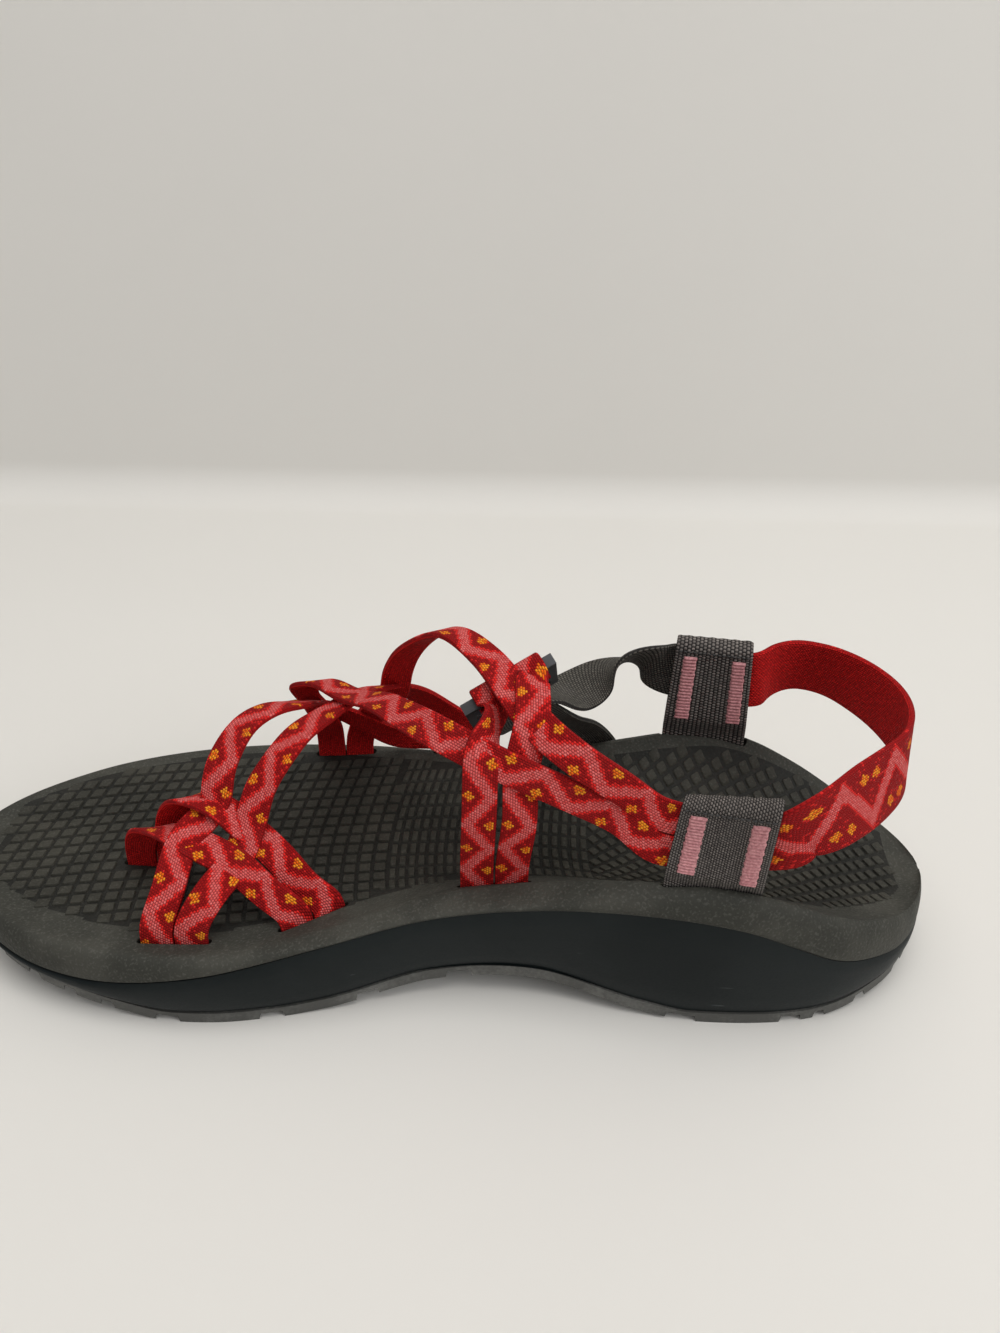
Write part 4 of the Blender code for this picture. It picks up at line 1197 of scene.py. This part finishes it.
def plastic_paint(tree):
    place = place_in(tree)
    cloud = noise(place, 0.004)
    grain = noise(place, 0.0004, 2)
    return {
        "Base Color": cloud.ramp(0.3, 0.7).mix((0.030, 0.032, 0.035), (0.052, 0.055, 0.060)),
        "Roughness": 0.36 + cloud * 0.16,
        "Normal": bump(grain, 0.00005, 0.4),
    }


PALE_GREY = (0.24, 0.212, 0.195)
rib_webbing = finish("ribbed_webbing", webbing_paint(0.80, 0.68, 0.34, PALE_GREY))
brick_webbing = finish("brick_webbing", webbing_paint(0.95, 1.25, 0.5, PALE_GREY))
strap_webbing = finish("twill_webbing", webbing_paint(0.95, 0.75, 0.34, (0.17, 0.158, 0.135)))
RISER_FINISHES = {"riser_medial": rib_webbing, "riser_lateral": brick_webbing}
tack_thread = finish("tack_thread", thread_paint)
hem_thread = finish("hem_thread", hem_paint)
buckle_plastic = finish("buckle_plastic", plastic_paint)

risers = {name: Riser(name, *tops) for name, tops in RISER_TOPS.items()}
riser_pieces = {
    name: riser_skin(name + "_webbing", riser, RISER_FINISHES[name]) for name, riser in risers.items()
}
print("risers:", [len(made.data.polygons) for made in riser_pieces.values()])

# %% [markdown]
# Bar tacks and the hem
#
# Two broad bar tacks hold each riser closed on the straps. A tack is a column of thread floats laid side by
# side, so it is a strip whose height ripples once for each thread and falls away at both edges. A row of
# short stitches crosses the webbing just under the fold.

# %% Tacks and hem stitches
TACKS = ((0.11, 0.29), (0.74, 0.915))
TACK_UP = (0.17, 0.85)
TACK_THREADS = 20
TACK_HEIGHT = 0.00065
TACK_PROFILE = (
    (0.0, -0.5), (0.03, 0.35), (0.12, 0.85), (0.3, 1.0), (0.5, 1.05), (0.7, 1.0), (0.88, 0.85), (0.97, 0.35),
    (1.0, -0.5),
)
TACK_EDGE = 0.05
RAGGED = 0.03
RAGGED_TURN = 2.4
STEPS_A_THREAD = 6
HEM_UP = 0.90
HEM_STITCHES = 15
HEM_HEIGHT = 0.00030
HEM_THREAD = (0.00032, 0.00022)
HEM_SPAN = (0.03, 0.94)
HEM_FLOAT = (0.08, 0.92)
FACE_SINK = 0.00016


def on_face(riser, back, up, side, lift):
    """A place on a riser's outer (side 1) or inner (side -1) face."""
    stand = riser.room(up) + WEB_THICK - FACE_SINK + rib_height(back) + lift
    return riser.at(back, up) + riser.out(back) * stand * side


def tack(riser, backs, side):
    """One bar tack: rows of points up the riser, across each row the profile of a thread float."""
    rows = []
    steps = TACK_THREADS * STEPS_A_THREAD
    for i in range(steps + 1):
        up = TACK_UP[0] + (TACK_UP[1] - TACK_UP[0]) * i / steps
        ripple = 0.25 + 0.75 * abs(math.sin(math.pi * i / STEPS_A_THREAD)) ** 0.6
        end = min(1.0, 2 * min(i, steps - i) / STEPS_A_THREAD)
        row = []
        for share, crown in TACK_PROFILE:
            at_edge = min(share, 1 - share) < TACK_EDGE
            stagger = RAGGED * math.sin(RAGGED_TURN * (i // STEPS_A_THREAD)) * at_edge
            back = backs[0] + (backs[1] - backs[0]) * (share + stagger)
            lift = TACK_HEIGHT * (crown * ripple * end if crown > 0 else crown)
            row.append(on_face(riser, back, up, side, lift))
        rows.append(row)
    rows = np.array(rows)
    count, width = rows.shape[:2]
    a = np.arange(count - 1)[:, None] * width + np.arange(width - 1)[None, :]
    faces = np.stack([a, a + 1, a + 1 + width, a + width], -1).reshape(-1, 4)
    if side * riser.outer[1] < 0:
        faces = faces[:, ::-1]
    return rows.reshape(-1, 3), faces.tolist()


def merge(parts):
    """Several meshes as one list of points and one of faces."""
    points, faces, start = [], [], 0
    for these, their_faces in parts:
        points.append(these)
        faces += [tuple(v + start for v in face) for face in their_faces]
        start += len(these)
    return np.concatenate(points), faces


def stitch(start, end, out, height):
    """One short thread float, a flattened half tube that dips in at both ends."""
    rings = []
    across = unit(np.cross(end - start, out))
    turns = np.radians(np.linspace(0, 360, 8, endpoint=False))
    for share in np.linspace(0, 1, 7):
        swell = math.sin(math.pi * share) ** 0.5
        centre = start * (1 - share) + end * share + out * swell * height
        half_width, half_height = [half * (0.35 + 0.65 * swell) for half in HEM_THREAD]
        rings.append([
            centre + across * math.cos(t) * half_width + out * math.sin(t) * half_height for t in turns
        ])
    return np.array(rings).reshape(-1, 3), ring_faces(7, 8)


def hem(riser, side):
    """The row of stitches under the fold on one face."""
    made = []
    for i in range(HEM_STITCHES):
        ends = [(i + share) / HEM_STITCHES * HEM_SPAN[1] + HEM_SPAN[0] for share in HEM_FLOAT]
        places = [on_face(riser, back, HEM_UP, side, 0.0) for back in ends]
        made.append(stitch(*places, riser.out(0.5) * side, HEM_HEIGHT))
    return made


for name, riser in risers.items():
    bars = merge([tack(riser, backs, side) for backs in TACKS for side in (1, -1)])
    piece = add_mesh(name + "_tacks", *bars, [tack_thread])
    piece.parent = riser_pieces[name]
    piece = add_mesh(name + "_hem", *merge(hem(riser, 1) + hem(riser, -1)), [hem_thread])
    outward(piece)
    piece.parent = riser_pieces[name]
print("tacks:", 4 * len(risers), "hem stitches:", 2 * HEM_STITCHES * len(risers))

# %% [markdown]
# The ladder buckle
#
# The buckle hangs from two of the straps, which turn round its front bar. Its own axes are worked out first,
# because the straps and the adjusting strap wind round its bars.

# %% Buckle axes
BUCKLE_BAR = 0.0026
BUCKLE_SLOT = 0.0042
BUCKLE_THICK = 0.003
BUCKLE_CLEAR = 0.0004
BUCKLE_TIP = math.radians(24)
BUCKLE_TURN = math.radians(22)
BUCKLE_HANG = math.radians(50)


class Buckle:
    """bar runs along the front bar, pull towards the adjusting strap and out away from the foot."""

    def __init__(self):
        self.centre = point(BUCKLE_PLACE)
        level = np.array([-math.cos(BUCKLE_TURN), -math.sin(BUCKLE_TURN), 0])
        self.bar = level * math.cos(BUCKLE_TIP) + np.array([0, 0, math.sin(BUCKLE_TIP)])
        self.up = unit(np.array([0, 0, 1]) - self.bar * self.bar[2])
        self.medial = np.cross(self.bar, self.up)
        self.pull = -self.medial * math.cos(BUCKLE_HANG) - self.up * math.sin(BUCKLE_HANG)
        self.out = np.cross(self.bar, self.pull)

    def at(self, bar, pull, out=0.0):
        return self.centre + self.bar * bar + self.pull * pull + self.out * out


buckle = Buckle()

# %% [markdown]
# All the red straps
#
# The heel strap lies between the layers of both risers. Two narrow strands leave the medial riser and cross
# the instep, two rise from the arch to the buckle, and four cross the forefoot, two of them looping the toe.

# %% Strands of the upper
HEEL_STRAP = (
    (0.1746, 0.398, 0.735, -5),
    (0.1496, 0.366, 0.751, 9),
    (0.1199, 0.298, 0.755, 17),
    (0.0895, 0.217, 0.753, 15),
    (0.0640, 0.133, 0.753, 8),
    (0.0500, 0.022, 0.753, 3),
    (0.0510, -0.088, 0.753, 0),
    (0.0605, -0.177, 0.753, 2),
    (0.0770, -0.258, 0.753, 6),
    (0.1020, -0.329, 0.753, 13),
    (0.1324, -0.355, 0.750, 12),
    (0.1581, -0.330, 0.734, 4),
)
PAIR_UP = 0.53
PAIR_LAY = 0.24
HEEL_STRAP_MEDIAL = ((0.16, 0.50), (0.55, 0.53), (1.0, 0.575), (1.1, 0.585))
HEEL_STRAP_LATERAL = ((1.12, 0.635), (1.0, 0.62), (0.75, 0.615), (0.2, 0.60))
PAIR_BACKS = (0.26, 0.10, 0.0, -0.1)
ADJUSTER_BACKS = ((0.94, 0.58), (0.75, 0.585), (0.4, 0.60), (0.0, 0.62), (-0.12, 0.63))
PAIR = {
    "heel_low": (
        ((0.323, 0.312, 0.672), 4),
        ((0.362, 0.308, 0.737), 8),
        ("heel_low over arch_heel", 12),
        ("arch_toe over heel_low", 22),
        ((0.492, 0.188, 0.855), 42),
        ((0.527, 0.083, 0.834), 60),
        ((0.556, -0.021, 0.801), 80),
        ("heel_low over ball_heel", 100),
        ((0.633, -0.240, 0.712), 112),
        ((0.657, -0.285, 0.655), 128),
        ("ball_toe over heel_low", 146),
    ),
    "heel_high": (
        ((0.329, 0.312, 0.792), 8),
        ((0.370, 0.285, 0.866), 22),
        ("arch_heel over heel_high", 42),
        ((0.428, 0.110, 0.958), 62),
        ((0.453, 0.000, 0.984), 82),
        ((0.489, -0.104, 0.996), 102),
        ((0.529, -0.187, 0.891), 112),
        ((0.551, -0.255, 0.745), 124),
        ("ball_heel over heel_high", 140),
        ("heel_high over ball_toe", 160),
    ),
}
PAIR_END = {"heel_low": "toe", "heel_high": "heel"}
ARCH_PAIR = {
    "arch_toe": ("toe", -0.0052, (
        ((0.453, 0.285, 0.669), 0),
        ("arch_toe over heel_low", 12),
    )),
    "arch_heel": ("heel", 0.0062, (
        ((0.416, 0.290, 0.673), 0),
        ("heel_low over arch_heel", 6),
        ("arch_heel over heel_high", 26),
        ((0.408, 0.115, 0.968), 45),
    )),
}
LOOP_TURNS = (30, 65, 100, 135, 170, 205, 240, 275, 305)


def heel_strap_rows(medial, lateral):
    rows = [(medial.at(*row), medial.out(row[0])) for row in HEEL_STRAP_MEDIAL]
    places = [point(row[:3]) for row in HEEL_STRAP]
    ends = [medial.at(*HEEL_STRAP_MEDIAL[-1])] + places + [lateral.at(*HEEL_STRAP_LATERAL[0])]
    for i, row in enumerate(HEEL_STRAP):
        run = ends[i + 2] - ends[i]
        level = unit(np.array([run[1], -run[0], 0]))
        lean = math.radians(row[3])
        rows.append((places[i], level * math.cos(lean) + np.array([0, 0, math.sin(lean)])))
    inwards = -(SEAM_GAP + STRAP_THICK) / 2
    return rows + [lateral.layer(*row, inwards) for row in HEEL_STRAP_LATERAL]


def loop_rows(side):
    """A strand's turn round the front bar, back to its own inner face."""
    middle = buckle.centre + buckle.bar * side
    radius = math.hypot(BUCKLE_BAR, BUCKLE_THICK) / 2 + BUCKLE_CLEAR + STRAP_THICK / 2
    rows = []
    for turn in LOOP_TURNS:
        angle = math.radians(turn)
        out = buckle.medial * math.cos(angle) + buckle.up * math.sin(angle)
        rows.append((middle + out * radius, out))
    return rows


def pair_rows(name, riser):
    """From between the riser's layers, over the instep, to the lateral ball slot."""
    side = (STRAP_WIDTH + PAIR_GAP) / 2 * (1 if name == "heel_high" else -1)
    start = []
    for back in PAIR_BACKS:
        out = riser.out(back)
        rise = unit(riser.at(back, 1) - riser.at(back, 0))
        start.append((riser.at(back, PAIR_UP) + rise * side + out * PAIR_LAY * STRAP_THICK, out))
    return start + strand_rows(name, PAIR[name]) + slot_rows("ball_lateral", PAIR_END[name], 180)[::-1]


STARTS = {"ball_toe": 3.0, "ball_heel": 8.0, "loop_front": 5.0, "loop_rear": 13.0, "heel_low": 1.0,
          "heel_high": 9.0, "arch_toe": 4.0, "arch_heel": 12.0, "heel_strap": 6.0}
paths = {}
for name, (first, rows, last) in STRANDS.items():
    paths[name] = slot_rows(*first, 0) + strand_rows(name, rows) + slot_rows(*last, 180)[::-1]
for name in PAIR:
    paths[name] = pair_rows(name, risers["riser_medial"])
for name, (half, side, rows) in ARCH_PAIR.items():
    paths[name] = slot_rows("arch_medial", half, 0) + strand_rows(name, rows) + loop_rows(side)
straps = [
    ribbon(name, path, STRAP_WIDTH, STRAP_THICK, [narrow_weave, strap_back], STARTS[name])
    for name, path in paths.items()
]
path = heel_strap_rows(risers["riser_medial"], risers["riser_lateral"])
straps.append(ribbon("heel_strap", path, HEEL_STRAP_WIDTH, STRAP_THICK, [wide_weave, strap_back],
                     STARTS["heel_strap"], 15))
print("straps:", len(straps), "faces:", sum(len(made.data.polygons) for made in straps))

# %% [markdown]
# The adjusting strap
#
# A softer grey strap leaves the lateral riser, dips over the bed, goes up through the ladder, round its
# third bar and back, and its free tail hangs down beside the sole.

# %% Adjusting strap
ADJUSTER_WIDTH = 0.018
ADJUSTER_THICK = 0.0014
ADJUSTER_RUN = (
    ((0.2776, -0.358, 0.732), 160),
    ((0.2919, -0.371, 0.748), 141),
    ((0.3070, -0.378, 0.740), 122),
    ((0.3224, -0.375, 0.712), 105),
    ((0.3375, -0.360, 0.677), 93),
    ((0.3530, -0.333, 0.655), 86),
    ((0.3700, -0.289, 0.654), 84),
    ((0.3870, -0.237, 0.681), 93),
    ((0.4040, -0.180, 0.722), 108),
)
ADJUSTER_TAIL = (
    ((0.385, -0.290, 0.560), 125),
    ((0.366, -0.378, 0.470), 138),
    ((0.345, -0.452, 0.350), 155),
    ((0.322, -0.478, 0.215), 168),
    ((0.302, -0.482, 0.120), 175),
)
LADDER_WEAVE = (
    (1.60, -1.40, 0), (1.05, -1.10, 0), (0.79, -1.00, 10), (0.62, -0.68, 50), (0.50, 0.00, 65),
    (0.38, 0.68, 50), (0.20, 1.00, 15), (0.00, 1.00, 0), (-0.20, 1.00, -15), (-0.38, 0.68, -50),
    (-0.50, 0.00, -90), (-0.43, -0.72, -125), (-0.26, -1.10, -160), (0.00, -1.24, -180),
    (0.32, -1.40, -190), (0.66, -1.76, -188), (1.05, -1.84, -180),
)


def adjuster_rows(lateral):
    outwards = (SEAM_GAP + ADJUSTER_THICK) / 2
    rows = [lateral.layer(*row, outwards) for row in ADJUSTER_BACKS]
    rows += strand_rows("", ADJUSTER_RUN)
    pitch = BUCKLE_BAR + BUCKLE_SLOT
    stand_off = (BUCKLE_THICK + ADJUSTER_THICK) / 2 + BUCKLE_CLEAR
    for pull, out, turn in LADDER_WEAVE:
        angle = math.radians(turn)
        direction = buckle.out * math.cos(angle) + buckle.pull * math.sin(angle)
        rows.append((buckle.at(0, (2 + pull) * pitch, out * stand_off), direction))
    rows += [(place, -out) for place, out in strand_rows("", ADJUSTER_TAIL)]
    return rows


adjuster = ribbon("adjuster_webbing", adjuster_rows(risers["riser_lateral"]), ADJUSTER_WIDTH, ADJUSTER_THICK,
                  [strap_webbing, strap_webbing], 0.0, 25, 0.001)
print("adjusting strap:", len(adjuster.data.polygons), "faces")

# %% [markdown]
# The buckle's body
#
# The moulded buckle is plain and close to its solid, so the solid stays and gets rounded edges from a Bevel
# and a fine-grained plastic.

# %% Buckle
buckle_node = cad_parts["buckle"]
buckle_node.data.materials.clear()
buckle_node.data.materials.append(buckle_plastic)
rounding = buckle_node.modifiers.new("rounded_edges", "BEVEL")
rounding.width = 0.0006
rounding.segments = 3
rounding.limit_method = "ANGLE"
rounding.angle_limit = math.radians(40)

# %% [markdown]
# Who stands for what
#
# Each skin takes the place of its solid, which stays in the frame for its mass and its collisions. Everything
# is cloth or rubber in one body, so every piece rides on the root.

# %% Ride and replace
upper = straps[0]
chosen = {"active_object": upper, "selected_editable_objects": straps, "selected_objects": straps}
with bpy.context.temp_override(**chosen):
    bpy.ops.object.join()
upper.name = "woven_straps"
PIECES = (
    (outsole, "outsole"), (midsole, "midsole"), (footbed, "footbed"), (upper, "upper"),
    (riser_pieces["riser_medial"], "riser_medial"), (riser_pieces["riser_lateral"], "riser_lateral"),
    (adjuster, "adjuster_strap"),
)
for piece, node in PIECES:
    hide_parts(node)
    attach(piece, "root")
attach(footbed_pads, "root")

# %% [markdown]
# Camera
#
# The photograph looks down on the medial side from about a third of a metre. Its place and turn were worked
# out from the sole's outline, and the lens from the size of the frame.

# %% Camera at the photograph's angle
PHOTO_WIDTH = 1000
FOCAL_PIXELS = 1004.64
CAMERA_PLACE = (-0.02535, 0.21831, 0.21992)
CAMERA_YAW = 0.0401
CAMERA_PITCH = 0.5546
CAMERA_ROLL = 0.0053


def add_camera():
    flat = math.cos(CAMERA_PITCH)
    ahead = Vector((math.sin(CAMERA_YAW) * flat, -math.cos(CAMERA_YAW) * flat, -math.sin(CAMERA_PITCH)))
    level = ahead.cross(Vector((0, 0, 1))).normalized()
    above = level.cross(ahead)
    right = level * math.cos(CAMERA_ROLL) + above * math.sin(CAMERA_ROLL)
    up = above * math.cos(CAMERA_ROLL) - level * math.sin(CAMERA_ROLL)
    data = bpy.data.cameras.new("camera")
    data.sensor_width = 36
    data.sensor_fit = "HORIZONTAL"
    data.lens = 36 * FOCAL_PIXELS / PHOTO_WIDTH
    data.clip_start = 0.01
    camera = bpy.data.objects.new("camera", data)
    bpy.context.scene.collection.objects.link(camera)
    camera.matrix_world = Matrix((right, up, -ahead)).transposed().to_4x4()
    camera.location = Vector(CAMERA_PLACE) + Vector((0, frame_shift, 0))
    return camera


bpy.context.scene.camera = add_camera()

# %% [markdown]
# Floor and light
#
# A pale floor that turns up softly into a wall behind gives the plain ground of the photograph. Broad soft
# lights from above and from the window side keep shadows faint.

# %% Floor, wall and lights
FLOOR_SIZE = 3.0
WALL_AT = -0.31
WALL_BEND = 0.02


def paper_paint(tree):
    cloud = noise(place_in(tree), 0.25)
    return {"Base Color": cloud.mix((0.69, 0.672, 0.635), (0.73, 0.712, 0.675)), "Roughness": 0.9}


def add_backdrop():
    profile = [(FLOOR_SIZE / 2, 0.0), (WALL_AT + WALL_BEND, 0.0)]
    for degrees in range(10, 100, 10):
        turn = math.radians(degrees)
        profile.append((WALL_AT + WALL_BEND * (1 - math.sin(turn)), WALL_BEND * (1 - math.cos(turn))))
    profile.append((WALL_AT, FLOOR_SIZE / 2))
    points = [(x, y, z) for x in (-FLOOR_SIZE / 2, FLOOR_SIZE / 2) for y, z in profile]
    count = len(profile)
    faces = [(i, i + 1, count + i + 1, count + i) for i in range(count - 1)]
    made = add_mesh("backdrop", points, faces, [finish("paper", paper_paint)])
    return made


def add_light(name, place, target, size, power, colour):
    data = bpy.data.lights.new(name, "AREA")
    data.shape = "DISK"
    data.size = size
    data.energy = power
    data.color = colour
    light = bpy.data.objects.new(name, data)
    bpy.context.scene.collection.objects.link(light)
    light.location = place
    light.rotation_euler = (Vector(target) - Vector(place)).to_track_quat("-Z", "Y").to_euler()
    return light


add_backdrop()
LIGHTS = (
    ("ceiling", (-0.1, 0.1, 1.5), (0, 0, 0), 1.3, 13.0, (1.0, 0.985, 0.96)),
    ("window", (-1.2, 0.7, 0.9), (0, 0, 0), 0.8, 7.0, (0.97, 0.985, 1.0)),
)
for light in LIGHTS:
    add_light(*light)
world = bpy.data.worlds.new("soft_room")
bpy.context.scene.world = world
world.use_nodes = True
world.node_tree.nodes["Background"].inputs["Color"].default_value = (0.95, 0.95, 0.96, 1)
world.node_tree.nodes["Background"].inputs["Strength"].default_value = 0.46
bpy.context.scene.view_settings.view_transform = "Standard"
